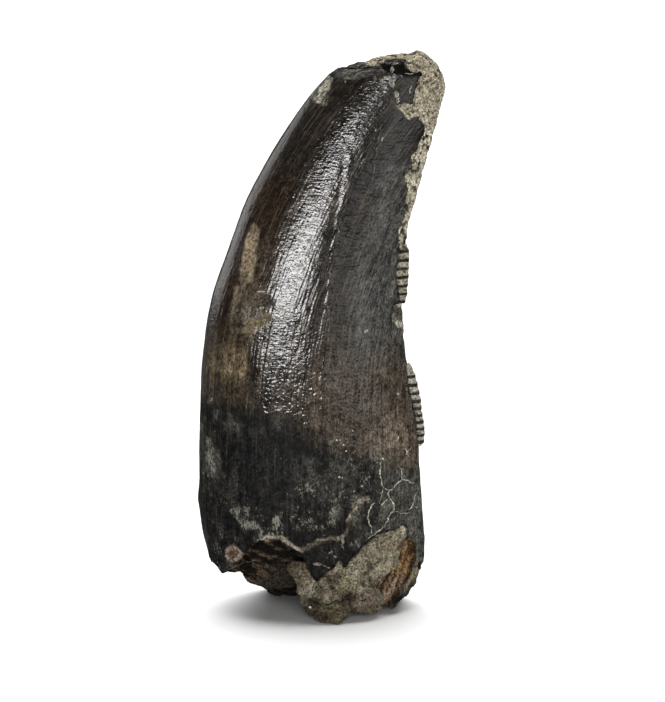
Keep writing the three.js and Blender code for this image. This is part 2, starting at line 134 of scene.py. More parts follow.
# ---- Details of the front face, in the photograph's pixels ----
OUTLINES_PX = {
    # The arch broken out of the front rim, where dark dentine shows.
    "arch": [
        (214, 592), (224, 575), (229, 569.5), (239, 563), (243, 557.5), (244, 553.5), (249, 547.5),
        (255, 542.5), (262.5, 539.4), (270, 538.8), (280, 540.6), (286, 544.5), (294, 549.5), (301, 554),
        (304, 558), (302, 575), (308, 606), (300, 625), (240, 625),
    ],
    # The hole in the front wall, which the sandstone fills.
    "window": [
        (307, 606), (303, 596), (298, 587), (293.5, 579), (289, 571), (287.5, 564), (290, 559.5),
        (296, 558.5), (303, 559.5), (306.5, 562.5), (309, 570), (312.5, 577.5), (318, 582.5), (321, 577),
        (327.5, 571.5), (332, 568), (337.5, 562.5), (339.5, 559.5), (342, 562), (344.5, 566.5),
        (347, 564.5), (350, 558.8), (356.3, 552.5), (362.5, 546.3), (370, 540), (376.3, 535),
        (382.5, 532.5), (388, 529.5), (395, 531), (399, 527.5), (405, 526.5), (407.5, 534), (409, 539),
        (403.5, 548), (400, 557), (395, 566), (388, 573.5), (380.5, 581.5), (376, 588.5), (373.5, 600),
        (374, 612), (372, 640), (307, 640),
    ],
    # Orange dentine beside the sandstone.
    "strip": [
        (406, 541), (412, 540), (415, 545), (416.5, 552), (417, 558), (413.5, 565), (411, 574),
        (406, 583), (401, 590.5), (396, 598), (391, 603), (387, 609), (384, 640), (371, 640), (373, 612),
        (372.5, 600), (375, 588.5), (379.5, 581.5), (387, 573.5), (394, 566), (399, 556), (402, 547),
    ],
    # The stained rim beside the strip.
    "olive_edge": [
        (413, 566), (417.5, 559), (420.5, 566), (420, 574), (415, 579), (411, 585), (406, 592),
        (404, 590), (410, 577),
    ],
    # A flake of enamel is missing here.
    "scar": [
        (253.4, 225.5), (257, 230), (259.5, 234.4), (260, 242), (258, 250), (257.6, 257.4), (255.5, 268),
        (253.8, 276.5), (253.2, 288), (254.4, 311), (253, 322), (248, 331), (240, 338), (233, 336),
        (231.5, 325), (231.5, 308.4), (232.7, 286), (236, 284), (239.7, 285.5), (240.5, 276),
        (244.2, 260), (247, 250), (248.5, 242), (250, 234.4),
    ],
    # A dark hollow beside the scar, and the ochre stain below it.
    "dark_chip": [
        (254, 297), (262, 293), (272, 297), (275, 305), (268, 309), (263, 314), (256, 309),
    ],
    "ochre": [
        (247, 313), (262, 311), (273, 316), (271, 325), (262, 328), (251, 340), (244, 333),
    ],
    # Stone on the mesial side of the tip.
    "tip_chip": [
        (317, 87), (322, 82), (331, 81), (330, 90), (325, 97), (320, 106), (314, 103),
    ],
    # The crust on the apex, and the dark enamel that it leaves bare.
    "crust": [
        (368, 50), (368.6, 58.6), (366, 64), (366, 68), (371, 69.5), (379, 70), (381, 68.5), (378, 65.5),
        (382, 65.7), (388.5, 68), (390.5, 65.7), (394.3, 68.6), (398, 67), (402, 66.4), (403.6, 62),
        (405, 65), (405, 69.3), (408, 73), (413, 75.7), (417, 75), (420.7, 75.7), (420, 79.3),
        (416.4, 79.6), (415.7, 85), (413.6, 93.6), (412, 100.7), (411.4, 107), (400, 107), (398, 105),
        (397.5, 99.3), (398.6, 94.3), (393, 94.3), (392.5, 98), (393.5, 105), (395, 109), (400, 112),
        (402.5, 116), (405, 120), (408.4, 123), (411.4, 121), (414.3, 119.3), (417, 119.5), (419, 122.5),
        (423.5, 127.5), (427, 131), (432, 134), (455, 126), (460, 45), (385, 40),
    ],
    "island": [
        (376.5, 65), (381, 66.5), (385, 65.7), (387.5, 69), (390, 66), (393, 70), (396, 66.5),
        (398.5, 68.5), (401, 63), (403.5, 66), (404, 69.5), (407, 72.8), (411, 75.4), (421, 75.2),
        (421.2, 80), (403, 79.6), (396, 77.6), (388, 77), (384.5, 75.5), (381, 71.5),
    ],
    # Sandstone on the distal edge: below the crust, and between the rows of denticles.
    "band": [
        (422, 122), (424.5, 128), (423.5, 135), (421, 143), (416, 150), (412, 155.5), (411.7, 171.6),
        (405.4, 176.8), (407, 187.7), (404.8, 201.5), (403, 215), (401, 220), (399, 239), (400, 248),
        (420, 248), (440, 180), (445, 119),
    ],
    "patch": [
        (397, 301), (404, 300), (412, 302), (412, 330), (404, 333), (399, 331), (392, 322), (392, 308),
    ],
    # What stands out beyond the edge: sandstone, enamel, and the two rows of denticles.
    "band_keel": [
        (425, 128), (429, 128), (429.5, 133.7), (430.3, 139.5), (427.8, 149.8), (425.5, 160), (422, 166),
        (422.6, 170.5), (421, 178.5), (417.4, 190), (415, 201.5), (411, 213), (408.6, 222), (408, 235),
        (408, 248), (402, 248), (403, 235), (406, 213), (410, 195), (414, 178), (418, 160), (423, 145),
    ],
    "web": [
        (396, 350), (403, 349), (405, 358), (409, 368), (412.6, 380), (415.5, 393), (417.8, 408),
        (420, 424), (421, 436), (420.5, 450), (419.5, 460), (420, 470), (421.2, 490), (423, 518),
        (423.8, 532), (426.3, 538.8), (425, 545), (423.6, 552), (423.6, 566), (416, 566), (414, 500),
        (408, 440), (400, 380),
    ],
    "upper_keel": [
        (401, 247), (398.5, 253), (397.5, 262), (396, 270), (395.5, 277), (398, 286), (399, 296),
        (401, 303), (404.5, 303), (406.5, 296), (407.4, 288), (408.2, 278), (408.6, 266), (408.6, 252),
        (407, 248),
    ],
    "lower_keel": [
        (405.5, 365), (407.5, 380), (410, 392), (412.5, 402), (415, 412), (416.5, 424), (417.3, 436),
        (418, 445), (421.5, 446), (424, 441), (424.8, 432), (424, 423), (422.4, 414), (421.2, 402),
        (419, 390), (416.2, 379), (413.4, 369), (409, 362),
    ],
}
# The wide crack that tan stone fills.
TAN_CRACK_PX = [
    (262, 539), (270, 536), (280, 536.3), (287.5, 541.3), (294, 546), (301.5, 549.5), (310, 545),
    (320, 540.6), (330, 538.1), (338.8, 537.2), (345, 534.5), (347.8, 528), (348.2, 521), (350, 515),
    (355.2, 508.4), (359.2, 502.8), (362.4, 498.8), (368, 497.6),
]
# The crevice across the sandstone's lumps.
CREVICES_PX = [
    (309, 600.5), (315, 603), (322, 605.5), (328, 604), (335, 602.5), (342, 601), (347, 598),
    (352, 594.5),
]
CREVICE_HALF_WIDTH = 0.22
TAN_CRACK_HALF_WIDTH = 0.13
ROUND_CHIP_PX = (233.5, 553.5)
ROUND_CHIP_RADIUS = 0.86
# Lower edge of the brown enamel.
BROWN_EDGE_PX = [
    (190, 392), (205, 397), (245, 401), (290, 419), (330, 441), (372, 452), (392, 463), (410, 466),
    (422, 452), (430, 436),
]
# Zones of pale specks: centre, half width, half height and how thickly the specks lie. The narrow zone at
# (209, 452) along the left edge is partly pale specks and partly a painted sheen on that edge.
SPECKLES_PX = [
    (248, 515, 17, 14, 0.75), (278, 525, 7, 11, 0.75), (311, 516, 27, 12, 0.8), (322, 482, 14, 9, 0.8),
    (352, 470, 26, 20, 0.5), (209, 452, 7, 34, 0.75), (340, 500, 40, 22, 0.55), (375, 452, 12, 10, 0.5),
    (222, 545, 14, 20, 0.45), (369, 499, 10, 5, 1.0), (268, 536, 12, 6, 1.0), (330, 455, 50, 9, 0.25),
    (389, 290, 8, 8, 0.9), (250, 322, 18, 18, 0.7), (262, 303, 10, 10, 0.6), (386, 82, 6, 10, 0.7),
    (335, 440, 8, 5, 0.8), (225, 490, 24, 30, 0.3), (262, 340, 20, 20, 0.4), (320, 100, 8, 10, 0.7),
    (277, 527, 3, 9, 1.1), (355, 545, 10, 5, 0.6), (330, 553, 8, 5, 0.5), (376, 462, 5, 8, 0.8),
]
# The warmest part of the brown enamel, in mm on the view plane.
WARM_AT = (7.0, 16.6)
WARM_SIZE = (3.4, 3.4)


def from_px(points):
    """Pixels of the photograph as millimetres on the view plane."""
    points = np.array(points, float)
    return np.stack([points[..., 0] - ORIGIN_PX[0], ORIGIN_PX[1] - points[..., 1]], -1) / PX_PER_MM


def seen_height(y, z):
    """Height on the view plane of a place at depth y and height z."""
    return z * VIEW_COS + y * VIEW_SIN


def smoothstep(low, high, value):
    part = np.clip((value - low) / (high - low), 0.0, 1.0)
    return part * part * (3.0 - 2.0 * part)


def ellipse(x, w, px, py, half_width_px, half_height_px):
    """How far places lie from the middle of an ellipse given in pixels, whose rim is at 1."""
    centre_x, centre_w = from_px((px, py))
    across = (x - centre_x) * PX_PER_MM / half_width_px
    return np.hypot(across, (w - centre_w) * PX_PER_MM / half_height_px)


# ---- Noise ----
LATTICE = 32
lattice = (rng.random((LATTICE,) * 3) * 2.0 - 1.0).astype(np.float32)


def noise(x, y, z, size, shift=0.0):
    """Smooth noise from -1 to 1 whose bumps are about one size apart. A shift gives another pattern."""
    places = [np.asarray(v, np.float32) / size + shift + 7.31 * k for k, v in enumerate((x, y, z))]
    cells = [np.floor(v).astype(np.int32) for v in places]
    parts = [v - c for v, c in zip(places, cells)]
    parts = [t * t * (3.0 - 2.0 * t) for t in parts]
    value = 0.0
    for corner in range(8):
        bits = (corner & 1, corner >> 1 & 1, corner >> 2)
        weight = 1.0
        for part, bit in zip(parts, bits):
            weight = weight * (part if bit else 1.0 - part)
        i, j, k = ((cell + bit) % LATTICE for cell, bit in zip(cells, bits))
        value = value + weight * lattice[i, j, k]
    return value


def layered(x, y, z, size, layers=3, shift=0.0):
    """Noise with finer and weaker layers on top of the first."""
    total = 0.0
    for layer in range(layers):
        total = total + noise(x, y, z, size / 2.1**layer, shift + 3.7 * layer) * 0.55**layer
    return total


# ---- Tables on the view plane ----
def table_axes():
    across = TABLE_LOW[0] + TABLE_STEP * np.arange(TABLE_SHAPE[0])
    up = TABLE_LOW[1] + TABLE_STEP * np.arange(TABLE_SHAPE[1])
    return across[:, None], up[None, :]


def read_table(table, x, up):
    """Smooth reading of a table at any place."""
    i = np.clip((x - TABLE_LOW[0]) / TABLE_STEP, 0, TABLE_SHAPE[0] - 1.001)
    j = np.clip((up - TABLE_LOW[1]) / TABLE_STEP, 0, TABLE_SHAPE[1] - 1.001)
    i0 = i.astype(np.int32)
    j0 = j.astype(np.int32)
    a = (i - i0).astype(np.float32)
    b = (j - j0).astype(np.float32)
    low = table[i0, j0] * (1 - b) + table[i0, j0 + 1] * b
    high = table[i0 + 1, j0] * (1 - b) + table[i0 + 1, j0 + 1] * b
    return low * (1 - a) + high * a


def distance_to_lines(starts, ends):
    """Distance from every place of a table to the nearest of the lines."""
    across, up = table_axes()
    nearest = np.full(TABLE_SHAPE, 1e9)
    for (x0, w0), (x1, w1) in zip(starts, ends):
        dx = x1 - x0
        dw = w1 - w0
        share = np.clip(((across - x0) * dx + (up - w0) * dw) / (dx * dx + dw * dw), 0, 1)
        nearest = np.minimum(nearest, np.hypot(across - x0 - share * dx, up - w0 - share * dw))
    return nearest


def line_table(points_px, half_width):
    """Signed distance to a band of that half width along an open line."""
    points = from_px(points_px)
    return (distance_to_lines(points[:-1], points[1:]) - half_width).astype(np.float32)


def outline_table(corners_px):
    """Signed distance to a closed outline on the view plane, less than 0 inside."""
    corners = from_px(corners_px)
    ends = np.roll(corners, -1, axis=0)
    across, up = table_axes()
    inside = np.zeros(TABLE_SHAPE, bool)
    for (x0, w0), (x1, w1) in zip(corners, ends):
        if w0 != w1:
            crosses = (w0 <= up) != (w1 <= up)
            inside ^= crosses & (across < x0 + (up - w0) * (x1 - x0) / (w1 - w0))
    nearest = distance_to_lines(corners, ends)
    return np.where(inside, -nearest, nearest).astype(np.float32)


TABLES = {name: outline_table(corners) for name, corners in OUTLINES_PX.items()}
TABLES["tan_crack"] = line_table(TAN_CRACK_PX, TAN_CRACK_HALF_WIDTH)
TABLES["crevices"] = line_table(CREVICES_PX, CREVICE_HALF_WIDTH)


def outline(name, x, w):
    """How far places of the view plane lie outside a named outline."""
    return read_table(TABLES[name], x, w)


# ---- The tooth's form ----
def spline(rows, samples=1500):
    """A smooth line through rows of numbers, with evenly numbered samples."""
    rows = np.array(rows, float)
    padded = np.vstack([2 * rows[0] - rows[1], rows, 2 * rows[-1] - rows[-2]])
    t = np.linspace(0, len(rows) - 1, samples)
    i = np.minimum(t.astype(int), len(rows) - 2)
    f = (t - i)[:, None]
    p0, p1, p2, p3 = (padded[i + k] for k in range(4))
    bend = (2 * p0 - 5 * p1 + 4 * p2 - p3) * f**2 + (3 * p1 - p0 - 3 * p2 + p3) * f**3
    return 0.5 * (2 * p1 + (p2 - p0) * f + bend)


SECTIONS = spline(STATIONS)
SECTION_AT = np.linspace(0, 1, len(SECTIONS))


def section(height, column):
    return np.interp(height, SECTION_AT, SECTIONS[:, column])


def make_chord_tables():
    """For every place of the X-Z plane: the section through it, its share of the chord and more."""
    x, z = table_axes()
    x, z = np.broadcast_arrays(x, z)
    low = np.zeros(TABLE_SHAPE)
    high = np.ones(TABLE_SHAPE)
    for _ in range(22):
        middle = (low + high) / 2
        mx, mz, dx, dz = (section(middle, k) for k in range(4))
        above = (dx - mx) * (z - mz) - (dz - mz) * (x - mx) > 0
        low = np.where(above, middle, low)
        high = np.where(above, high, middle)
    mx, mz, dx, dz, half, lean = (section(low, k) for k in range(6))
    chord = np.hypot(dx - mx, dz - mz)
    share = ((x - mx) * (dx - mx) + (z - mz) * (dz - mz)) / chord**2
    middle_x = (SECTIONS[:, 0] + SECTIONS[:, 2]) / 2
    middle_z = (SECTIONS[:, 1] + SECTIONS[:, 3]) / 2
    steps = np.hypot(np.diff(middle_x), np.diff(middle_z))
    length = np.interp(low, SECTION_AT, np.concatenate([[0], np.cumsum(steps)]))
    made = {"height": low, "share": share, "half": half, "lean": lean, "chord": chord, "length": length}
    return {name: table.astype(np.float32) for name, table in made.items()}


CHORDS = make_chord_tables()


def chord_value(name, x, z):
    return read_table(CHORDS[name], x, z)


def from_ridge(x, w):
    """How far right of the ridge's line a place lies, and how strong the ridge is at its height."""
    line = from_px(RIDGE_PX)[::-1]
    gone = x - np.interp(w, line[:, 1], line[:, 0])
    strength = smoothstep(line[0, 1], line[0, 1] + 5.0, w) * smoothstep(line[-1, 1], line[-1, 1] - 3.0, w)
    return gone, strength


def groove(x, w):
    """The shallow groove on the front face, left of the ridge."""
    gone, strength = from_ridge(x, w)
    return -GROOVE_DEPTH * strength * np.exp(-(((gone + GROOVE_OFFSET) / GROOVE_WIDTH) ** 2))


def ridge(x, w):
    """The low broken ridge beside the groove."""
    gone, strength = from_ridge(x, w)
    broken = np.clip(0.4 + 1.7 * noise(0 * w, w, 0 * w, 0.45, 3.0), 0, 1.3)
    wander = 0.10 * noise(0 * w, w, 0 * w, 0.9, 21.0)
    return RIDGE_HEIGHT * strength * broken * np.exp(-(((gone - wander) / RIDGE_WIDTH) ** 2))


def face_distance(depth, half, chord, share, peak):
    """Distance to one face: depth is how far a place lies from the tooth's middle plane."""
    power = (1 - peak) / peak
    left = np.maximum((1 - share) / (1 - peak), 0)
    square = share / peak * left**power
    slope = left**power / peak - share / peak * power * left ** (power - 1) / (1 - peak)
    ratio = depth / half
    steep = np.sqrt((2 * ratio / half) ** 2 + (slope / chord) ** 2 + 1e-4)
    rounded = (ratio**2 - square) / steep
    bulge = np.sqrt(np.clip(square, 0, None))
    beyond = np.maximum(share - 1, 0) * chord
    tilt = np.clip(slope / (2 * np.maximum(bulge, 0.02)) * half / chord, -2, 2)
    sharp = (depth - half * bulge + beyond) / np.sqrt(1 + tilt**2)
    toward_sharp = smoothstep(0.45, 0.7, share)
    return rounded + (sharp - rounded) * toward_sharp


def tooth_distance(x, y, z):
    """Distance to the unbroken tooth, less than 0 inside."""
    share, half, lean, chord = (chord_value(name, x, z) for name in ("share", "half", "lean", "chord"))
    offset = y - lean
    relief = groove(x, seen_height(y, z))
    front = face_distance(np.maximum(-offset - relief, 0), half, chord, share, FRONT_PEAK)
    back = face_distance(np.maximum(offset, 0), half, chord, share, BACK_PEAK)
    return np.where(offset > 0, back, front)


def line_at(corners, x):
    corners = np.array(corners)
    return np.interp(x, corners[:, 0], corners[:, 1])


def unevenness(x, y):
    broad = np.sin(1.3 * x + 0.6 * y + 0.4) * np.sin(1.1 * y - 0.5 * x + 1.2)
    fine = np.sin(3.7 * x - 2.1 * y) * np.sin(2.9 * y + 1.7 * x + 0.8)
    return 0.3 * broad + 0.22 * fine


def crown_rim(x, y):
    front, wall, back = (line_at(rim, x) for rim in (FRONT_RIM, WALL_RIM, BACK_RIM))
    to_wall = smoothstep(FRONT_RIM_Y, WALL_RIM_Y, y)
    to_back = smoothstep(WALL_RIM_Y, BACK_RIM_Y, y)
    rough = 0.6 * unevenness(x, y) + 0.25 * noise(x, y, 0 * x + 0 * y, 0.8)
    return front + (wall - front) * to_wall + (back - wall) * to_back + rough


def apex_break(x, y):
    fall = APEX_FALL * (y - APEX_LEAN) ** 2
    return line_at(APEX_BREAK, x) - fall + 0.15 * unevenness(1.4 * x, 1.4 * y)


def matrix_floor(x, y):
    rise = 1.6 * smoothstep(-2, 3, y)
    return line_at(MATRIX_FLOOR, x) + rise + unevenness(1.3 * x + 2, 1.3 * y)


def pulp_distance(x, y, z, grow):
    rows = np.array(PULP)
    centre, length, thickness = (np.interp(z, rows[:, 1], rows[:, k]) for k in (0, 2, 3))
    radius = np.hypot((x - centre) / (length + grow), y / (thickness + grow))
    return np.maximum((radius - 1) * (thickness + grow), z - rows[-1, 1] - grow)


def lumps_distance(x, y, z, grow):
    nearest = 1e9
    for *centre, radius in LUMPS:
        parts = [(place - middle) / scale for place, middle, scale in zip((x, y, z), centre, LUMP_SCALE)]
        gone = np.sqrt(parts[0] ** 2 + parts[1] ** 2 + parts[2] ** 2)
        nearest = np.minimum(nearest, gone - radius - grow)
    return nearest


def mirrored_height(x, y, z):
    """Height on the view plane, with a place at the back read as its twin at the front."""
    lean = chord_value("lean", x, z)
    return seen_height(lean - np.abs(y - lean), z)


KEEL_HALF_THICKNESS = 0.55
KEEL_ROUNDING = 0.15


def keel_distance(x, y, z, name, grow):
    """A rounded keel along the edge, from its outline on the view plane."""
    lean = chord_value("lean", x, z)
    beside = np.maximum(np.abs(y - lean) - KEEL_HALF_THICKNESS - grow + KEEL_ROUNDING, 0)
    beyond = np.maximum(outline(name, x, seen_height(lean, z) + 0 * y) - grow + KEEL_ROUNDING, 0)
    return np.hypot(beside, beyond) - KEEL_ROUNDING


def melt(a, b, radius):
    """Union of two forms with a rounded joint."""
    close = np.maximum(radius - np.abs(a - b), 0) / radius
    return np.minimum(a, b) - close * close * radius / 4


# ---- From a field to a mesh ----
def grid(low, high, step):
    return [np.arange(a, b + step, step, dtype=np.float32) for a, b in zip(low, high)]


def skin(field, low, step):
    """Quads over the surface where the field is 0, with one vertex in each cell it passes."""
    field = np.pad(field, 1, constant_values=1.0)
    low = np.array(low) - step
    strides = np.array([field.shape[1] * field.shape[2], field.shape[2], 1])
    inside = field < 0
    all_cells, all_points = [], []
    for axis in range(3):
        before = tuple(slice(0, -1) if k == axis else slice(None) for k in range(3))
        after = tuple(slice(1, None) if k == axis else slice(None) for k in range(3))
        crossing = inside[before] != inside[after]
        at = np.argwhere(crossing)
        value, following = field[before][crossing], field[after][crossing]
        points = at.astype(float)
        points[:, axis] += value / (value - following)
        across, beyond = (axis + 1) % 3, (axis + 2) % 3
        cells = []
        for du, dv in ((-1, -1), (0, -1), (0, 0), (-1, 0)):
            cell = at.copy()
            cell[:, across] += du
            cell[:, beyond] += dv
            cells.append(cell @ strides)
        cells = np.stack(cells, 1)
        entering = value > 0
        cells[entering] = cells[entering][:, ::-1]
        all_cells.append(cells)
        all_points.append(points)
    cells = np.concatenate(all_cells)
    points = np.repeat(np.concatenate(all_points), 4, axis=0)
    _, index = np.unique(cells, return_inverse=True)
    index = index.reshape(-1)
    count = np.bincount(index)
    sums = [np.bincount(index, points[:, k]) for k in range(3)]
    vertices = low + np.stack(sums, 1) / count[:, None] * step
    return vertices, index.reshape(-1, 4)


def sample(field, low, step, points):
    """Smooth reading of a field at any points."""
    place = (points - np.array(low)) / step
    place = np.clip(place, 0, np.array(field.shape) - 1.001)
    cell = place.astype(np.int32)
    part = place - cell
    value = 0.0
    for corner in range(8):
        bits = np.array([corner & 1, corner >> 1 & 1, corner >> 2])
        weight = np.prod(np.where(bits, part, 1 - part), axis=1)
        i, j, k = (cell + bits).T
        value = value + weight * field[i, j, k]
    return value


def gradient(field, low, step, points):
    columns = []
    for axis in range(3):
        offset = np.zeros(3)
        offset[axis] = step / 2
        ahead = sample(field, low, step, points + offset)
        behind = sample(field, low, step, points - offset)
        columns.append((ahead - behind) / step)
    return np.stack(columns, 1)


def neighbour_mean(vertices, quads):
    start = quads.reshape(-1)
    end = np.roll(quads, -1, axis=1).reshape(-1)
    ends = np.concatenate([start, end])
    others = np.concatenate([end, start])
    count = np.bincount(ends, minlength=len(vertices))
    sums = [np.bincount(ends, vertices[others, k], len(vertices)) for k in range(3)]
    return np.stack(sums, 1) / np.maximum(count, 1)[:, None]


def relax(vertices, quads, field, low, step, rounds=4):
    """Spreads the vertices evenly and puts each back on the surface."""
    for _ in range(rounds):
        vertices = 0.5 * vertices + 0.5 * neighbour_mean(vertices, quads)
        slope = gradient(field, low, step, vertices)
        steep = np.maximum((slope**2).sum(1), 0.04)
        move = slope * (sample(field, low, step, vertices) / steep)[:, None]
        vertices = vertices - np.clip(move, -step / 2, step / 2)
    return vertices


def normals(vertices, quads):
    a, b, c, d = (vertices[quads[:, k]] for k in range(4))
    face = np.cross(c - a, d - b)
    total = np.zeros_like(vertices)
    for k in range(4):
        for axis in range(3):
            total[:, axis] += np.bincount(quads[:, k], face[:, axis], len(vertices))
    return total / np.maximum(np.linalg.norm(total, axis=1), 1e-12)[:, None]


def displaced(vertices, quads, offset):
    """The vertices moved outward, each by its own offset."""
    return vertices + normals(vertices, quads) * offset[:, None]


def above_floor(vertices):
    """No vertex lies lower than the floor that the tooth stands on."""
    vertices[:, 2] = np.maximum(vertices[:, 2], 0.0)
    return vertices


def surface_of(make_field, low, high, step, rounds=4):
    """Vertices and quads of a form given by a function of X, Y and Z."""
    xs, ys, zs = grid(low, high, step)
    field = make_field(xs[:, None, None], ys[None, :, None], zs[None, None, :]).astype(np.float32)
    vertices, quads = skin(field, low, step)
    return relax(vertices, quads, field, low, step, rounds), quads


def mesh_object(name, vertices, quads, attributes, materials, material_of_quad=None):
    """An object with smooth quads and named values on its vertices."""
    mesh = bpy.data.meshes.new(name)
    mesh.vertices.add(len(vertices))
    mesh.vertices.foreach_set("co", (vertices * MM).astype(np.float32).reshape(-1))
    mesh.loops.add(quads.size)
    mesh.loops.foreach_set("vertex_index", quads.astype(np.int32).reshape(-1))
    mesh.polygons.add(len(quads))
    mesh.polygons.foreach_set("loop_start", np.arange(0, quads.size, 4, dtype=np.int32))
    mesh.update(calc_edges=True)
    mesh.polygons.foreach_set("use_smooth", np.ones(len(quads), bool))
    for key, values in attributes.items():
        values = np.asarray(values, np.float32)
        kind, field = ("FLOAT", "value") if values.ndim == 1 else ("FLOAT_VECTOR", "vector")
        mesh.attributes.new(key, kind, "POINT").data.foreach_set(field, values.reshape(-1))
    for material in materials:
        mesh.materials.append(material)
    if material_of_quad is not None:
        mesh.polygons.foreach_set("material_index", material_of_quad.astype(np.int32))
    thing = bpy.data.objects.new(name, mesh)
    bpy.context.scene.collection.objects.link(thing)
    return thing


# ---- Colours ----
def blend(a, b, weight):
    """From colour a to colour b, one weight for each vertex."""
    a = np.asarray(a, float)
    b = np.asarray(b, float)
    return a + (b - a) * np.asarray(weight)[..., None]


def lay(colour, *layers):
    """Lays layers over a colour, each a colour and a weight for each vertex."""
    for tone, weight in layers:
        colour = blend(colour, tone, weight)
    return colour


# ---- The crown: its shape ----
CROWN_STEP = 0.215
CROWN_LOW = (-12.9, -7.9, -0.5)
CROWN_HIGH = (12.9, 7.9, 57.4)
WEB_GROW = -0.25
WEB_BLEND = 0.7
PULP_CLEARANCE = 0.15
LUMP_CLEARANCE = 0.1
# The breaks are given as heights. These shares make them about as steep as distances.
APEX_STEEPNESS = 0.9
RIM_STEEPNESS = 0.6
# How deep each detail is carved into the face.
STRIP_DEPTH = 0.55
DARK_CHIP_DEPTH = 0.07
TIP_CHIP_DEPTH = 0.18
TAN_CRACK_DEPTH = 0.16
CRUST_SEAT_DEPTH = 0.25
# Relief of the enamel: heights in mm.
WAVE_HEIGHT = 0.05
BAND_HEIGHT = 0.022
FLUTE_HEIGHT = 0.018
PEEL_HEIGHT = 0.012
BUMP_HEIGHT = 0.16
BUMP_AT = (-12.4, 11.4)
BUMP_SIZE = (1.2, 1.1)


def carve(field, body, mask, depth):
    """Takes away what lies inside the mask and less than depth under the face."""
    return np.maximum(field, np.minimum(-mask, body + depth))


def arch_depth(w):
    """The dentine under the arch is set back most at its top."""
    return 0.6 + 1.5 * smoothstep(3.2, 6.0, w)


def scar_depth(w):
    """The scar is deepest at its top."""
    return 0.03 + 0.17 * smoothstep(30.5, 33.5, w)


def arch_fibres(x, y, w):
    """Strands of the broken dentine under the arch, which run almost level."""
    bend = 0.5 * noise(x, w, 0 * x, 2.2, 47.0)
    return layered(x * 0.45 - 0.1 * w, y * 0.5, (w + bend) * 1.7 + 0.5 * x, 0.5, 4, 41.0)


def strip_fibres(x, y, w):
    """Strands of the dentine beside the sandstone, which run along its strip."""
    return layered((0.894 * x - 0.447 * w) * 1.9, y * 0.5, (0.447 * x + 0.894 * w) * 0.28, 0.6, 3, 43.0)


def crown_field(x, y, z):
    w = seen_height(y, z)
    body = tooth_distance(x, y, z)
    behind = y - chord_value("lean", x, z)

    def on_front(name):
        return np.maximum(outline(name, x, w), behind)

    web = keel_distance(x, y, z, "web", WEB_GROW)
    field = np.maximum(melt(body, web, WEB_BLEND), APEX_STEEPNESS * (z - apex_break(x, y)))
    field = np.maximum(field, RIM_STEEPNESS * (crown_rim(x, y) - z))
    field = np.maximum(field, -z)
    field = np.maximum(field, np.minimum(-outline("window", x, w), WINDOW_BACK_Y - y))
    field = np.maximum(field, -pulp_distance(x, y, z, PULP_CLEARANCE))
    field = np.maximum(field, -lumps_distance(x, y, z, LUMP_CLEARANCE))
    ragged = 0.22 * layered(x, y, z, 0.5, 2, 77.0)
    field = carve(field, body, on_front("strip"), STRIP_DEPTH)
    field = carve(field, body, on_front("arch"), arch_depth(w))
    field = carve(field, body, on_front("scar"), scar_depth(w))
    field = carve(field, body, on_front("dark_chip") + 0.05 + ragged, DARK_CHIP_DEPTH)
    field = carve(field, body, on_front("tip_chip") + ragged, TIP_CHIP_DEPTH)
    field = carve(field, body, on_front("tan_crack"), TAN_CRACK_DEPTH)
    return carve(field, body, np.maximum(outline("crust", x, w) + 0.15, behind), CRUST_SEAT_DEPTH)


def enamel_relief(x, y, z):
    """How far the real enamel stands proud of the smooth form."""
    along = chord_value("length", x, z)
    across = chord_value("share", x, z) * chord_value("chord", x, z)
    waves = WAVE_HEIGHT * layered(x, y, z, 4.5, 2)
    bands = BAND_HEIGHT * noise(across, y, along, 1.0, 5.0) * noise(0 * across, 0 * y, along, 1.1, 9.0)
    flutes = FLUTE_HEIGHT * noise(across, 0 * y, along * 0.12, 0.9, 2.0)
    peel = PEEL_HEIGHT * noise(x, y, z, 0.55, 4.0)
    bump_gone = ((z - BUMP_AT[1]) / BUMP_SIZE[1]) ** 2 + ((x - BUMP_AT[0]) / BUMP_SIZE[0]) ** 2
    upper = smoothstep(0.35, 0.6, chord_value("height", x, z))
    on_front = smoothstep(0.4, -0.4, y - chord_value("lean", x, z))
    rising = on_front * ridge(x, seen_height(y, z))
    return waves + bands * upper + flutes + peel + BUMP_HEIGHT * np.exp(-bump_gone) + rising


# ---- The crown: its colours ----
ENAMEL_BROWN = (0.0265, 0.0198, 0.0135)
ENAMEL_LIGHT = (0.044, 0.034, 0.024)
ENAMEL_DARK = (0.0095, 0.0078, 0.0062)
ENAMEL_BLACK = (0.0056, 0.0054, 0.0052)
ENAMEL_SHEEN_GREY = (0.041, 0.041, 0.038)
ENAMEL_GOLD = (0.062, 0.047, 0.026)
ENAMEL_RUST = (0.013, 0.0068, 0.0032)
WARM_BROWN = (0.090, 0.068, 0.048)
HAZE_AND_SHEEN = (0.058, 0.057, 0.048)
DENTINE_DARK = (0.0065, 0.0045, 0.0030)
DENTINE_BROWN = (0.070, 0.050, 0.032)
STRIP_ORANGE = (0.270, 0.165, 0.075)
STRIP_PINK = (0.290, 0.205, 0.140)
STRIP_DARK = (0.040, 0.021, 0.009)
FACET_GREY = (0.120, 0.112, 0.092)
FACET_DARK = (0.034, 0.033, 0.031)
CAVITY = (0.030, 0.024, 0.018)
OLIVE = (0.170, 0.140, 0.085)
ISLAND_BLACK = (0.0040, 0.0038, 0.0036)
SCAR_LIGHT = (0.185, 0.145, 0.095)
SCAR_DULL = (0.070, 0.060, 0.040)
HOLLOW_PALE = (0.150, 0.122, 0.088)
HOLLOW_DARK = (0.016, 0.012, 0.009)
OCHRE_STAIN = (0.160, 0.126, 0.076)
STONE_TAN = (0.400, 0.350, 0.270)
STONE_PALE = (0.360, 0.330, 0.260)
TAN_GAP = (0.075, 0.058, 0.038)
CHIP_BROWN = (0.085, 0.055, 0.038)
CHIP_PALE = (0.260, 0.200, 0.155)


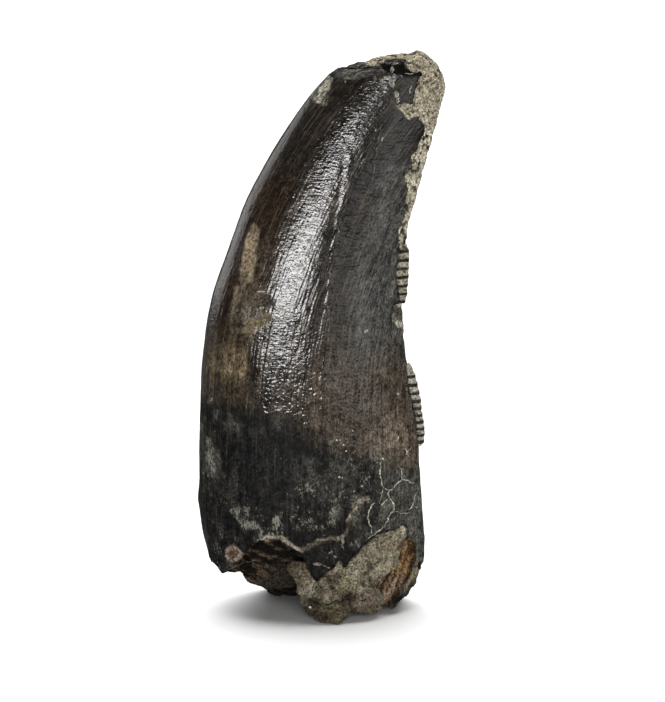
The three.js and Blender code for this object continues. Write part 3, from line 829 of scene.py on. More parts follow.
class Place:
    """The crown's vertices: where they lie, and the noise that several of their colours share."""

    def __init__(self, x, y, z, depth):
        self.x = x
        self.y = y
        self.z = z
        self.depth = depth
        self.w = mirrored_height(x, y, z)
        self.front = smoothstep(0.4, -0.4, y - chord_value("lean", x, z))
        self.share = chord_value("share", x, z)
        self.across = self.share * chord_value("chord", x, z)
        self.along = chord_value("length", x, z)
        self.low = smoothstep(33, 27, self.along)
        self.clouds = self.layered(4.0, 3, 23.0)
        self.wisps = layered(x, y, z * 0.6, 1.5, 4, 71.0)
        self.streaks = self.lengthwise(0.1, 1.3, 3, 17.0)

    def layered(self, size, layers, shift):
        return layered(self.x, self.y, self.z, size, layers, shift)

    def lengthwise(self, pace, size, layers, shift):
        """Noise in streaks up the tooth."""
        return layered(self.across, 0 * self.y, self.along * pace, size, layers, shift)

    def inside(self, name, soft=0.12):
        """1 within an outline of the front face, and 0 outside it."""
        wander = 0.12 * noise(self.x, self.w, 0 * self.x, 0.5, 3.0)
        return smoothstep(soft, -soft, outline(name, self.x, self.w) + wander) * self.front


def broken_share(depth):
    """1 where a face lies so deep in the unbroken tooth that it is dentine."""
    return smoothstep(0.10, 0.22, depth)


def polished_share(p):
    """1 on the brown enamel, and 0 on the black enamel below its ragged lower edge."""
    edge = from_px(BROWN_EDGE_PX)
    wobble = 0.8 * p.layered(1.8, 4, 11.0) + 0.4 * p.lengthwise(0.2, 0.7, 2, 13.0)
    return smoothstep(-1.5, 1.3, p.w - np.interp(p.x, edge[:, 0], edge[:, 1]) + wobble)


def brown_enamel(p):
    """Streaked brown: rusty and golden on the mesial side, dark beside the ridge, warm low down."""
    bands = p.lengthwise(0.05, 2.6, 2, 57.0)
    streaked = smoothstep(-0.7, 0.8, 1.1 * p.streaks + 0.6 * bands + 0.5 * p.low)
    lighter = p.low * smoothstep(0.35, 0.6, p.share) * smoothstep(-0.4, 0.9, p.streaks + 0.6 * p.clouds)
    rust = smoothstep(0.34, 0.12, p.share) * smoothstep(-0.9, 0.1, p.clouds - 0.6 * p.streaks)
    golden = p.low * smoothstep(0.32, 0.16, p.share) * smoothstep(0.01, 0.06, p.share)
    golden = golden * smoothstep(-0.5, 0.6, p.streaks) * (0.35 + 0.65 * p.front)
    colour = lay(
        ENAMEL_DARK,
        (ENAMEL_BROWN, streaked),
        (ENAMEL_LIGHT, 0.8 * lighter),
        (ENAMEL_RUST, 0.85 * rust * (1 - 0.9 * p.low)),
        (ENAMEL_GOLD, 0.8 * golden),
    )
    glow = 1 + 1.75 * golden * smoothstep(26.3, 28.6, p.along) - 0.6 * golden
    gone, strength = from_ridge(p.x, p.w)
    beside_ridge = np.exp(-(((gone - 1.1) / 0.9) ** 2)) * strength * smoothstep(21, 27, p.along)
    shade = 1 - 0.5 * beside_ridge * smoothstep(-0.8, 0.2, p.streaks + 0.5)
    warm_gone = np.hypot((p.x - WARM_AT[0]) / WARM_SIZE[0], (p.w - WARM_AT[1]) / WARM_SIZE[1])
    warm = smoothstep(1.3, 0.3, warm_gone + 0.3 * p.clouds)
    return blend(colour * (glow * shade)[:, None], WARM_BROWN, 0.7 * warm)


def grey_over(p, colour):
    """The enamel turns grey towards the distal edge and the apex; the paler grey on the distal side is a
    painted sheen.
    """
    grey = np.clip(smoothstep(0.64, 0.80, p.share) * (1 - p.low) + smoothstep(45, 50, p.along), 0, 1)
    distal = smoothstep(0.66, 0.80, p.share) * smoothstep(53, 48, p.along)
    return blend(colour, blend(ENAMEL_DARK, ENAMEL_SHEEN_GREY, distal), grey * 0.85)


def black_enamel(p):
    # Grey haze in patches is the enamel's own; the paler grey towards the distal edge is a painted sheen.
    hazy = smoothstep(0.0, 1.3, 1.2 * p.wisps + 0.5 * p.clouds)
    distal = smoothstep(0.70, 0.95, p.share + 0.08 * p.wisps)
    return lay(ENAMEL_BLACK, (HAZE_AND_SHEEN, 0.34 * hazy), (HAZE_AND_SHEEN, 0.55 * distal))


def dentine_colour(p):
    """Broken dentine: under the arch, in the strip, on the apex facet and in the cavity."""
    fibres = arch_fibres(p.x, p.y, p.w)
    # Dark and pale strands, with painted shade: the dentine darkens towards the arch's top, under the
    # enamel's overhang.
    strands_and_painted_light = smoothstep(0.0, 0.7, 1.7 * fibres + 0.5 * smoothstep(5.6, 3.4, p.w) + 0.5 * p.wisps - 0.25)
    strands = strip_fibres(p.x, p.y, p.w)
    pinkish = blend(STRIP_ORANGE, STRIP_PINK, smoothstep(4.2, 2.8, p.w + 0.5 * strands))
    orange = blend(STRIP_DARK, pinkish, smoothstep(-0.45, 0.65, strands + 0.3 * p.wisps))
    facet = smoothstep(47.5, 49.5, p.z)
    facet_streaks = layered(p.x * 0.3 - p.z, p.y, p.z * 0.5, 0.5, 3, 45.0)
    facet_colour = blend(FACET_GREY, FACET_DARK, smoothstep(-0.5, 0.2, facet_streaks))
    cavity = smoothstep(2.4, 3.4, p.depth) * (1 - facet)
    return lay(
        DENTINE_DARK,
        (DENTINE_BROWN, strands_and_painted_light),
        (orange, p.inside("strip")),
        (facet_colour, facet),
        (CAVITY, cavity),
    )


def scar_mark(p, scar, chip):
    """The scar's colour, bright at its top, and its share."""
    top = smoothstep(28.8, 35.0, p.w + 0.9 * p.wisps)
    patchy = smoothstep(-0.7, 0.5, p.layered(0.8, 3, 37.0) + 1.6 * top - 0.5)
    fibrous = 1 + 0.6 * layered(p.x * 1.6, p.y, p.z * 0.25, 0.5, 3, 35.0)
    colour = blend(SCAR_DULL, SCAR_LIGHT, top) * fibrous[:, None]
    return colour, scar * (1 - chip) * (0.1 + 0.9 * patchy) * (0.62 + 0.38 * top)


def round_chip_mark(p):
    """A round chip near the mesial corner, pale at its rim: its colour and its share."""
    centre = from_px(ROUND_CHIP_PX)
    ring = np.hypot(p.x - centre[0], p.w - centre[1]) / ROUND_CHIP_RADIUS
    share = smoothstep(1.1, 0.85, ring + 0.2 * noise(p.x, p.w, 0 * p.x, 0.4, 8.0)) * p.front
    crumbled = p.layered(0.45, 3, 83.0)
    colour = blend(CHIP_BROWN, CHIP_PALE, smoothstep(0.35, 0.8, ring + 0.35 * crumbled))
    return colour, share * smoothstep(-0.9, -0.1, crumbled + 0.6 * smoothstep(1.0, 0.6, ring))


def front_marks(p, scar, tan):
    """What lies on the face, in order: (colour, share, how well it covers, how rough it is)."""
    olive = p.inside("olive_edge", 0.2) * (1 - p.inside("strip")) * smoothstep(-0.7, 0.1, p.wisps)
    island = smoothstep(0.06, -0.06, outline("island", p.x, seen_height(p.y, p.z)) + 0.05 * p.wisps)
    chip_edge = outline("dark_chip", p.x, p.w) + 0.35 * p.layered(0.5, 3, 79.0)
    chip = smoothstep(0.2, -0.25, chip_edge) * p.front
    hollow = chip * smoothstep(-0.5, 0.3, p.layered(0.7, 3, 87.0) - 0.1)
    scar_colour, scar = scar_mark(p, scar, chip)
    crumbs = smoothstep(-0.5, 0.6, p.layered(0.42, 2, 39.0) + 0.35 * smoothstep(0.0, -2.0, p.x + 1.5))
    ochre = p.inside("ochre", 0.3) * smoothstep(-0.5, 0.4, p.layered(0.5, 2, 31.0))
    ring_colour, round_chip = round_chip_mark(p)
    tip = p.inside("tip_chip", 0.2) * smoothstep(-0.45, 0.1, p.layered(0.6, 3, 89.0))
    return [
        (OLIVE, olive, 1.0, 1.0),
        (ISLAND_BLACK, island, 1.0, 1.0),
        (scar_colour, scar, 1.0, 0.8),
        (blend(TAN_GAP, STONE_TAN, crumbs), tan, 1.0, 1.0),
        (HOLLOW_PALE, chip, 0.7, 1.0),
        (HOLLOW_DARK, hollow, 0.7, 0.0),
        (OCHRE_STAIN, ochre, 0.85, 0.7),
        (ring_colour, round_chip, 0.75, 1.0),
        (STONE_PALE, tip, 0.85, 1.0),
    ]


def speckle_share(p, polish):
    """How thickly the pale specks lie."""
    share = 0.25 * (1 - polish) * smoothstep(0.0, 1.0, p.wisps)
    ragged = 0.3 * p.clouds + 0.8 * p.layered(1.1, 4, 29.0)
    for *zone, weight in SPECKLES_PX:
        here = smoothstep(1.7, 0.4, ellipse(p.x, p.w, *zone) + ragged)
        share = np.maximum(share, weight * here * p.front)
    clusters = smoothstep(-0.35, 0.45, layered(p.across, p.y, p.along * 0.6, 0.6, 3, 93.0))
    return share * (0.35 + 0.65 * clusters)


def crown_paint(x, y, z, depth):
    """Values on the crown's vertices for its material."""
    p = Place(x, y, z, depth)
    polish = polished_share(p)
    colour = blend(black_enamel(p), grey_over(p, brown_enamel(p)), polish)
    scar = smoothstep(0.22, -0.28, outline("scar", x, p.w) + 0.35 * p.wisps) * p.front
    tan = p.inside("tan_crack")
    broken = broken_share(depth)
    colour = blend(colour, dentine_colour(p), broken * (1 - scar) * (1 - tan))
    stone = 0
    for tone, share, cover, rough in front_marks(p, scar, tan):
        colour = blend(colour, tone, share * cover)
        stone = stone + share * rough
    stone = np.clip(stone, 0, 1)
    return {
        "tint": np.clip(colour, 0, 1),
        "stone": stone,
        "dentine": broken * (1 - stone),
        "polish": polish,
        "upper": smoothstep(24, 34, p.along),
        "speckle": speckle_share(p, polish),
        "grain": np.stack([p.across, y, p.along], 1),
    }


# Quads with less polish than this have the dull finish.
LEAST_SHINE = 0.6


def make_crown():
    vertices, quads = surface_of(crown_field, CROWN_LOW, CROWN_HIGH, CROWN_STEP)
    x, y, z = vertices.T
    depth = -tooth_distance(x, y, z)
    broken = broken_share(depth)
    w = seen_height(y, z)
    on_strip = smoothstep(0.2, -0.2, outline("strip", x, w))
    fibres = 0.16 * arch_fibres(x, y, w) * (1 - on_strip) + 0.14 * strip_fibres(x, y, w) * on_strip
    fracture = 0.06 * layered(x, y, z, 1.0, 3, 6.0) + fibres
    offset = enamel_relief(x, y, z) * (1 - broken) + fracture * broken
    paint = crown_paint(x, y, z, depth)
    shine = paint["polish"] * (1 - np.maximum(paint["stone"], paint["dentine"]))
    dull = shine[quads].mean(axis=1) < LEAST_SHINE
    finishes = [
        tooth_material("polished_enamel", POLISHED_SPECULAR),
        tooth_material("dull_enamel", DULL_SPECULAR),
    ]
    vertices = above_floor(displaced(vertices, quads, offset))
    crown = mesh_object("crown", vertices, quads, paint, finishes, dull)
    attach(crown, "root")
    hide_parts("tooth_crown")
    return crown


# ---- The sandstone in the cavity ----
STONE_STEP = 0.15
STONE_LOW = (-9.0, -7.6, -0.3)
STONE_HIGH = (9.6, 4.6, 13.2)
WINDOW_INSET = 0.3
PILLOW_HEIGHT = 0.25
# The lumps' right part doesn't reach the floor.
UNDERSIDE_LIFT = 0.75
CREVICE_DEPTH = 0.35
CREASE_DEPTH = 0.20

# A red-brown zone low on its front, in mm on the view plane.
RED_AT = (2.6, 0.85)
RED_SIZE = (1.5, 0.8)
STONE_LIGHT = (0.240, 0.214, 0.152)
STONE_DUN = (0.140, 0.122, 0.080)
STONE_OLIVE = (0.105, 0.088, 0.048)
STONE_RED = (0.052, 0.033, 0.026)
STONE_SHADE = (0.030, 0.022, 0.014)
RIM_BROWN = (0.070, 0.050, 0.032)
STEM_SHADE_BROWN = (0.085, 0.064, 0.042)
# Zones of another tone on its front: centre, half width, half height, weight and colour. The near-black
# zones at (314, 602) and (349, 597) on the crevice and at (294, 562) on the stem's top under the arch are
# painted shade.
STONE_TONES_PX = [
    (366, 600, 13, 9, 0.75, (0.165, 0.125, 0.1)), (314, 602, 8, 4, 0.75, (0.036, 0.028, 0.016)),
    (349, 597, 9, 5, 0.8, (0.03, 0.021, 0.018)), (343, 584, 6, 11, 0.6, (0.215, 0.195, 0.115)),
    (329, 590, 9, 8, 0.65, (0.115, 0.09, 0.064)), (334, 579, 5, 4, 0.7, (0.04, 0.03, 0.019)),
    (374, 587, 4, 8, 0.7, (0.05, 0.034, 0.024)), (329, 614, 16, 6, 0.75, (0.092, 0.074, 0.042)),
    (308, 611, 6, 5, 0.85, (0.066, 0.056, 0.03)), (299, 575, 9, 12, 0.7, (0.1, 0.086, 0.058)),
    (294, 562, 9, 6, 0.8, (0.045, 0.035, 0.024)), (388, 545, 9, 9, 0.5, (0.23, 0.175, 0.11)),
    (356, 610, 14, 4, 0.6, (0.1, 0.082, 0.06)),
]


def stone_field(x, y, z):
    window = outline("window", x, seen_height(y, z))
    pillow = PILLOW_HEIGHT * smoothstep(0.0, -1.6, window)
    face = tooth_distance(x, y, z) + WINDOW_INSET - pillow
    plug = np.maximum(np.maximum(face, window + 0.06), y - WINDOW_BACK_Y - 1.5)
    field = np.minimum(plug, pulp_distance(x, y, z, 0.0))
    field = np.maximum(field, 0.8 * (matrix_floor(x, y) - z))
    field = np.minimum(field, lumps_distance(x, y, z, 0.0))
    lifted = UNDERSIDE_LIFT * smoothstep(1.4, 2.8, x) * smoothstep(1.0, -1.5, y)
    return np.maximum(field, lifted - z)


def stone_paint(x, y, z, crevices, creases, swells):
    w = seen_height(y, z)
    clouds = layered(x, y, z, 2.2, 3, 51.0)
    grains = layered(x, y, z, 0.45, 3, 55.0)
    colour = blend(STONE_LIGHT, STONE_DUN, np.clip(0.5 + clouds, 0, 1) * 0.8)
    # Darker in the creases: painted shade.
    colour = colour * ((1 + 0.45 * grains) * (1 - 0.5 * creases))[:, None]
    olive = smoothstep(0.9, 0.1, w + 0.4 * clouds)
    red_gone = np.hypot((x - RED_AT[0]) / RED_SIZE[0], (w - RED_AT[1]) / RED_SIZE[1])
    red_brown = smoothstep(1.2, 0.5, red_gone + 0.4 * grains)
    colour = lay(colour, (STONE_OLIVE, olive * 0.75), (STONE_RED, red_brown * 0.8))
    for *zone, weight, tone in STONE_TONES_PX:
        here = smoothstep(1.5, 0.5, ellipse(x, w, *zone) + 0.7 * clouds + 0.4 * grains)
        colour = blend(colour, tone, weight * here * smoothstep(1.0, -1.0, y))
    # Near black in the crevices and in the hollows between the swells: painted shade.
    deep = np.clip(0.85 * crevices + 0.6 * smoothstep(-0.3, -0.8, swells), 0, 1)
    left_rim = smoothstep(-0.75, -0.1, outline("window", x, w) + 0.3 * grains) * smoothstep(-1.2, -2.2, x)
    # Darker brown at the stem's top, under the arch: painted shade.
    stem_top_shade = smoothstep(3.4, 4.8, w + 0.5 * grains) * smoothstep(-1.0, -1.8, x)
    return lay(
        colour,
        (STONE_SHADE, deep),
        (RIM_BROWN, left_rim * smoothstep(1.4, 2.4, w) * 0.85),
        (STEM_SHADE_BROWN, stem_top_shade * 0.75),
    )


def make_stone():
    vertices, quads = surface_of(stone_field, STONE_LOW, STONE_HIGH, STONE_STEP, 3)
    x, y, z = vertices.T
    w = seen_height(y, z)
    lumpy = smoothstep(1.6, 0.4, w + 0.06 * (x - 2.0))
    swells = layered(x, y, z, 1.6, 2, 2.0)
    rough = (0.20 + 0.24 * lumpy) * swells + 0.20 * layered(x, y, z, 0.8, 3, 12.0)
    rough = rough + 0.07 * noise(x, y, z, 0.3, 7.0)
    crevice_edge = 0.12 * noise(x, w, 0 * x, 0.4, 15.0) - outline("crevices", x, w)
    crevices = smoothstep(0.05, 0.35, crevice_edge)
    creases = smoothstep(0.16, 0.0, np.abs(noise(x, y, z, 1.8, 33.0) + 0.10 * noise(x, y, z, 0.5, 35.0)))
    creases = creases * smoothstep(-0.3, 0.3, noise(x, y, z, 1.9, 37.0) + 0.35 * smoothstep(3.5, 1.0, w))
    offset = rough - CREVICE_DEPTH * crevices - CREASE_DEPTH * creases
    vertices = above_floor(displaced(vertices, quads, offset))
    paint = {"tint": stone_paint(*vertices.T, crevices, creases, swells), "grain": vertices}
    stone = mesh_object("base_stone", vertices, quads, paint, [stone_material("sandstone")])
    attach(stone, "root")
    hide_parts("base_matrix")
    return stone


# ---- The crust on the apex ----
CRUST_STEP = 0.11
CRUST_LOW = (3.4, -3.6, 46.0)
CRUST_HIGH = (13.0, 5.6, 57.4)
CRUST_THICKNESS = 0.03
CRUST_ABOVE_BREAK = 0.08
CRUST_PIT_DEPTH = 0.10
CRUST_LIGHT = (0.385, 0.340, 0.246)
CRUST_DUN = (0.265, 0.234, 0.168)
CRUST_PIT = (0.060, 0.048, 0.034)


def crust_field(x, y, z):
    lean = chord_value("lean", x, z)
    height = np.where(y > lean, mirrored_height(x, y, z), seen_height(y, z))
    edge = outline("crust", x, height) + 0.16 * layered(x, y, z, 0.9, 3, 61.0)
    body = tooth_distance(x, y, z) - CRUST_THICKNESS
    top = APEX_STEEPNESS * (z - apex_break(x, y) - CRUST_ABOVE_BREAK)
    return np.maximum(np.maximum(body, edge), top)


def make_crust():
    vertices, quads = surface_of(crust_field, CRUST_LOW, CRUST_HIGH, CRUST_STEP, 2)
    x, y, z = vertices.T
    rough = 0.12 * layered(x, y, z, 0.9, 3, 66.0) + 0.05 * noise(x, y, z, 0.28, 69.0)
    pits = smoothstep(0.30, 0.6, layered(x, y, z, 0.26, 2, 73.0) + 0.15 * noise(x, y, z, 1.5, 75.0))
    clouds = layered(x, y, z, 1.4, 3, 81.0)
    colour = blend(CRUST_LIGHT, CRUST_DUN, np.clip(0.5 + clouds, 0, 1) * 0.7)
    colour = blend(colour, CRUST_PIT, pits * 0.8)
    vertices = displaced(vertices, quads, rough - CRUST_PIT_DEPTH * pits)
    paint = {"tint": colour, "grain": vertices}
    pitted = stone_material("pitted_crust", VEINS_OF_CRUST)
    crust = mesh_object("tip_crust", vertices, quads, paint, [pitted])
    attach(crust, "root")
    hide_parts("tip_matrix")
    return crust


# ---- The serrated edge ----
EDGE_STEP = 0.10
EDGE_LOW = (6.4, -1.7, 15.6)
EDGE_HIGH = (12.6, 2.9, 50.8)
# Denticles, as the photograph's rows of pixels: dark bars with sandstone between them.
UPPER_DENTICLES_PX = (250.3, 259.0, 267.2, 275.8, 284.4, 292.5, 300.4)
LOWER_DENTICLES_PX = (376.0, 384.6, 393.3, 401.2, 408.6, 415.6, 422.5, 429.2, 435.7, 442.4)
BAR_HALF_HEIGHT = 0.145
BAR_SLOPE = 0.10
BAR_PROUD = 0.04
BAND_PROUD = 0.10
BAND_PIT_DEPTH = 0.16

EDGE_LIGHT = (0.440, 0.400, 0.305)
EDGE_DUN = (0.275, 0.247, 0.182)
EDGE_PIT = (0.030, 0.026, 0.022)
EDGE_GREY = (0.310, 0.288, 0.235)
PATCH_BROWN = (0.070, 0.063, 0.050)
BAR_DARK = (0.020, 0.017, 0.014)
BAR_GREY = (0.034, 0.031, 0.027)


def bars_distance(x, y, z, rows_px, name):
    """Denticles: slices of a slightly larger keel, one at each row."""
    w = seen_height(chord_value("lean", x, z), z)
    slope = BAR_SLOPE * (x - 8.5)
    nearest = 1e9
    for number, px_row in enumerate(rows_px):
        size = BAR_HALF_HEIGHT * (1 + 0.15 * math.sin(2.3 * number))
        row = (ORIGIN_PX[1] - px_row) / PX_PER_MM
        nearest = np.minimum(nearest, np.abs(w - slope - row) - size)
    return np.maximum(nearest, keel_distance(x, y, z, name, BAR_PROUD))


def edge_fill_distance(x, y, z):
    """Sandstone along the edge: the band under the apex, the patch, and between the denticles."""
    w = mirrored_height(x, y, z)
    mask = np.minimum(outline("band", x, w), outline("patch", x, w))
    mask = mask + 0.24 * layered(x, y, z, 0.7, 3, 91.0)
    band = np.maximum(tooth_distance(x, y, z) - BAND_PROUD, mask)
    band = melt(band, keel_distance(x, y, z, "band_keel", -0.12), 0.4)
    upper = keel_distance(x, y, z, "upper_keel", 0.0)
    lower = keel_distance(x, y, z, "lower_keel", -0.03)
    return np.minimum(band, np.minimum(upper, lower))


def denticles_distance(x, y, z):
    upper = bars_distance(x, y, z, UPPER_DENTICLES_PX, "upper_keel")
    lower = bars_distance(x, y, z, LOWER_DENTICLES_PX, "lower_keel")
    return np.minimum(upper, lower)


def edge_field(x, y, z):
    return np.minimum(edge_fill_distance(x, y, z), denticles_distance(x, y, z))


def edge_colour(x, y, z, w, pits, on_bar):
    clouds = layered(x, y, z, 1.2, 3, 111.0)
    colour = blend(EDGE_LIGHT, EDGE_DUN, np.clip(0.5 + clouds, 0, 1))
    colour = blend(colour, EDGE_PIT, pits * 0.9)
    colour = colour * (1 - 0.38 * smoothstep(36.3, 35.9, w))[:, None]
    dull = smoothstep(31.0, 30.4, w + 0.2 * clouds)
    patch = dull * smoothstep(26.5, 27.5, w) * smoothstep(-0.5, 0.2, clouds)
    bar_colour = blend(BAR_DARK, BAR_GREY, dull)
    return lay(colour, (EDGE_GREY, dull * 0.9), (PATCH_BROWN, patch), (bar_colour, on_bar))


def make_edge():
    vertices, quads = surface_of(edge_field, EDGE_LOW, EDGE_HIGH, EDGE_STEP, 2)
    x, y, z = vertices.T
    w = mirrored_height(x, y, z)
    on_bar = smoothstep(0.05, -0.03, denticles_distance(x, y, z) - edge_fill_distance(x, y, z))
    rough = 0.06 * layered(x, y, z, 0.7, 3, 101.0) * (1 - 0.6 * on_bar)
    pits = smoothstep(0.08, 0.36, layered(x, y, z, 0.42, 2, 107.0)) * smoothstep(36.0, 36.6, w)
    colour = edge_colour(x, y, z, w, pits, on_bar)
    vertices = displaced(vertices, quads, rough - BAND_PIT_DEPTH * pits)
    paint = {"tint": colour, "stone": 1 - on_bar, "dentine": on_bar, "grain": vertices}
    for absent in ("upper", "speckle", "polish"):
        paint[absent] = 0 * x
    edge = mesh_object("distal_edge", vertices, quads, paint, [tooth_material("dull_enamel", DULL_SPECULAR)])
    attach(edge, "root")
    return edge


# ---- Materials ----
POLISHED_SPECULAR = 0.5
DULL_SPECULAR = 0.07
STONE_SPECULAR = 0.12
STONE_ROUGHNESS = 0.92
VEINS_OF_CRUST = 0.9
VEINS_OF_STONE = 0.45
# Heights of the bumps, in mm.
ENAMEL_BUMP = 0.05
STONE_BUMP = 0.22

SCRATCH_COLOUR = (0.15, 0.12, 0.085, 1)
SMUDGE_COLOUR = (0.12, 0.115, 0.095, 1)
SPECK_COLOUR = (0.22, 0.21, 0.17, 1)


class Look:
    """A material, with short calls for the nodes that it needs."""

    def __init__(self, name):
        self.material = bpy.data.materials.new(name)
        self.material.use_nodes = True
        self.tree = self.material.node_tree

    def node(self, kind, inputs, **settings):
        made = self.tree.nodes.new("ShaderNode" + kind)
        for key, setting in settings.items():
            setattr(made, key, setting)
        for key, value in inputs.items():
            self.feed(made.inputs[key], value)
        return made

    def feed(self, socket, value):
        if isinstance(value, bpy.types.NodeSocket):
            self.tree.links.new(value, socket)
        else:
            socket.default_value = value

    def number(self, name):
        return self.node("Attribute", {}, attribute_name=name).outputs["Fac"]

    def vector(self, name):
        return self.node("Attribute", {}, attribute_name=name).outputs["Vector"]

    def stretch(self, vector, scale):
        return self.node("VectorMath", {0: vector, 1: scale}, operation="MULTIPLY").outputs[0]

    def noise(self, vector, scale, detail, roughness, distortion=0.0):
        inputs = {
            "Vector": vector, "Scale": scale, "Detail": detail, "Roughness": roughness,
            "Distortion": distortion,
        }
        return self.node("TexNoise", inputs).outputs["Fac"]

    def ramp(self, value, low, high, start=0.0, end=1.0):
        inputs = {0: value, 1: low, 2: high, 3: start, 4: end}
        return self.node("MapRange", inputs, interpolation_type="SMOOTHSTEP").outputs[0]

    def math(self, operation, a, b):
        return self.node("Math", {0: a, 1: b}, operation=operation).outputs[0]

    def times(self, a, b):
        return self.math("MULTIPLY", a, b)

    def plus(self, a, b):
        return self.math("ADD", a, b)

    def mix(self, factor, a, b, kind="MIX"):
        inputs = {0: factor, 6: a, 7: b}
        return self.node("Mix", inputs, data_type="RGBA", blend_type=kind).outputs[2]

    def mix_number(self, factor, a, b):
        return self.node("Mix", {0: factor, 2: a, 3: b}, data_type="FLOAT").outputs[0]

    def shaded_tint(self, shade):
        """The colour on the vertices, times a number."""
        grey = self.node("CombineColor", {0: shade, 1: shade, 2: shade}).outputs[0]
        return self.mix(1.0, self.vector("tint"), grey, "MULTIPLY")

    def finish(self, colour, roughness, specular, height, height_mm):
        """Feeds the shader. The height is a bump, and 1 of it is that many millimetres."""
        inputs = {"Height": height, "Distance": height_mm * MM, "Strength": 1.0}
        values = {
            "Base Color": colour,
            "Roughness": roughness,
            "Specular IOR Level": specular,
            "Normal": self.node("Bump", inputs).outputs[0],
        }
        for key, value in values.items():
            self.feed(self.tree.nodes["Principled BSDF"].inputs[key], value)
        return self.material


def enamel_colour(look, grain, mottle):
    """Enamel with streaks up the tooth, mottling, pale scratches and pale specks."""
    polish = look.number("polish")
    speckle = look.number("speckle")
    streaks = look.noise(look.stretch(grain, (3.2, 0.6, 0.22)), 1.0, 6.0, 0.65)
    lowest = look.mix_number(polish, 0.72, 0.5)
    highest = look.mix_number(polish, 1.28, 1.55)
    streaked = look.ramp(streaks, 0.3, 0.7, lowest, highest)
    mottled = look.ramp(mottle, 0.32, 0.68, 0.4, 1.7)
    grains = look.noise(look.stretch(grain, (1.5, 1.0, 0.8)), 4.4, 3.0, 0.7)
    darkest = look.mix_number(polish, 0.12, 0.25)
    brightest = look.mix_number(polish, 2.7, 2.1)
    grainy = look.ramp(grains, 0.3, 0.7, darkest, brightest)
    colour = look.shaded_tint(look.times(look.times(streaked, mottled), grainy))
    scratches = look.noise(look.stretch(grain, (7.0, 1.0, 0.16)), 1.0, 2.0, 0.5)
    scratched = look.times(look.ramp(scratches, 0.58, 0.74), look.mix_number(polish, 0.16, 0.42))
    smudged = look.times(look.times(speckle, look.ramp(mottle, 0.38, 0.62)), 0.12)
    specks = look.noise(look.stretch(grain, (1.2, 1.0, 0.85)), 4.0, 6.0, 0.78)
    level = look.plus(specks, look.times(speckle, 0.27))
    specked = look.times(look.ramp(level, 0.625, 0.775), 0.9)
    for share, tone in ((scratched, SCRATCH_COLOUR), (smudged, SMUDGE_COLOUR), (specked, SPECK_COLOUR)):
        colour = look.mix(share, colour, tone)
    return colour


def enamel_height(look, grain):
    """Wrinkles across the upper enamel, finer ones below, and fine ridges up the tooth."""
    warp = look.node("TexNoise", {"Vector": grain, "Scale": 2.0, "Detail": 2.0}).outputs["Color"]
    inputs = {0: warp, 1: (0.7, 0.7, 0.7), 2: grain}
    warped = look.node("VectorMath", inputs, operation="MULTIPLY_ADD").outputs[0]
    inputs = {"Vector": look.stretch(warped, (1.1, 0.7, 3.9)), "Scale": 1.0}
    cell_edges = look.node("TexVoronoi", inputs, feature="DISTANCE_TO_EDGE").outputs["Distance"]
    wrinkles = look.noise(look.stretch(grain, (1.7, 1.2, 4.4)), 1.0, 0.6, 0.5, 0.5)
    fine = look.noise(grain, 3.4, 0.5, 0.5)
    striae = look.noise(look.stretch(grain, (4.6, 1.0, 0.5)), 1.0, 0.5, 0.5)
    crosswise = look.plus(look.times(wrinkles, 0.55), look.times(look.ramp(cell_edges, 0.0, 0.22), 0.12))
    height = look.mix_number(look.number("upper"), look.times(fine, 0.75), crosswise)
    along = look.node("SeparateXYZ", {0: grain}).outputs[2]
    height = look.plus(height, look.times(striae, look.ramp(along, 32.0, 42.0, 1.15, 0.65)))
    return look.plus(height, look.times(fine, 0.35))


@functools.cache
def tooth_material(name, specular):
    """Enamel, with rough dentine and stone where the vertices say so."""
    look = Look(name)
    grain = look.vector("grain")
    stone = look.number("stone")
    rough_area = look.math("MAXIMUM", stone, look.number("dentine"))
    mottle = look.noise(grain, 1.3, 7.0, 0.68)
    grit = look.noise(grain, 4.4, 3.0, 0.65)
    dark_grit = look.noise(grain, 3.4, 2.0, 0.6)
    gritty = look.times(look.ramp(grit, 0.3, 0.7, 0.3, 1.85), look.ramp(dark_grit, 0.34, 0.5, 0.35, 1.0))
    colour = look.mix(rough_area, enamel_colour(look, grain, mottle), look.shaded_tint(gritty))
    if specular > DULL_SPECULAR:
        roughness = look.ramp(mottle, 0.3, 0.7, 0.11, 0.22)
    else:
        gloss = look.ramp(mottle, 0.3, 0.7, 0.58, 0.75)
        roughness = look.mix_number(rough_area, gloss, look.mix_number(stone, 0.82, 0.93))
    height = look.mix_number(rough_area, enamel_height(look, grain), look.times(grit, 3.0))
    return look.finish(colour, roughness, specular, height, ENAMEL_BUMP)


@functools.cache
def stone_material(name, veins=VEINS_OF_STONE):
    """Gritty sandstone with short dark veins."""
    look = Look(name)
    grain = look.vector("grain")
    grit = look.noise(grain, 4.3, 3.0, 0.65)
    clumps = look.noise(grain, 2.0, 3.0, 0.6)
    dark = look.noise(grain, 3.9, 3.0, 0.75)
    shade = look.times(look.ramp(grit, 0.3, 0.7, 0.25, 1.9), look.ramp(clumps, 0.35, 0.65, 0.8, 1.15))
    shade = look.times(shade, look.ramp(dark, 0.36, 0.46, 0.35, 1.0))
    curls = look.math("SUBTRACT", look.noise(grain, 6.0, 1.0, 0.5, 0.9), 0.5)
    veined = look.ramp(look.math("ABSOLUTE", curls, 0.0), 0.012, 0.05, veins, 0.0)
    veined = look.times(veined, look.ramp(look.noise(grain, 4.0, 2.0, 0.6), 0.44, 0.54))
    shade = look.times(shade, look.math("SUBTRACT", 1.0, veined))
    return look.finish(look.shaded_tint(shade), STONE_ROUGHNESS, STONE_SPECULAR, grit, STONE_BUMP)


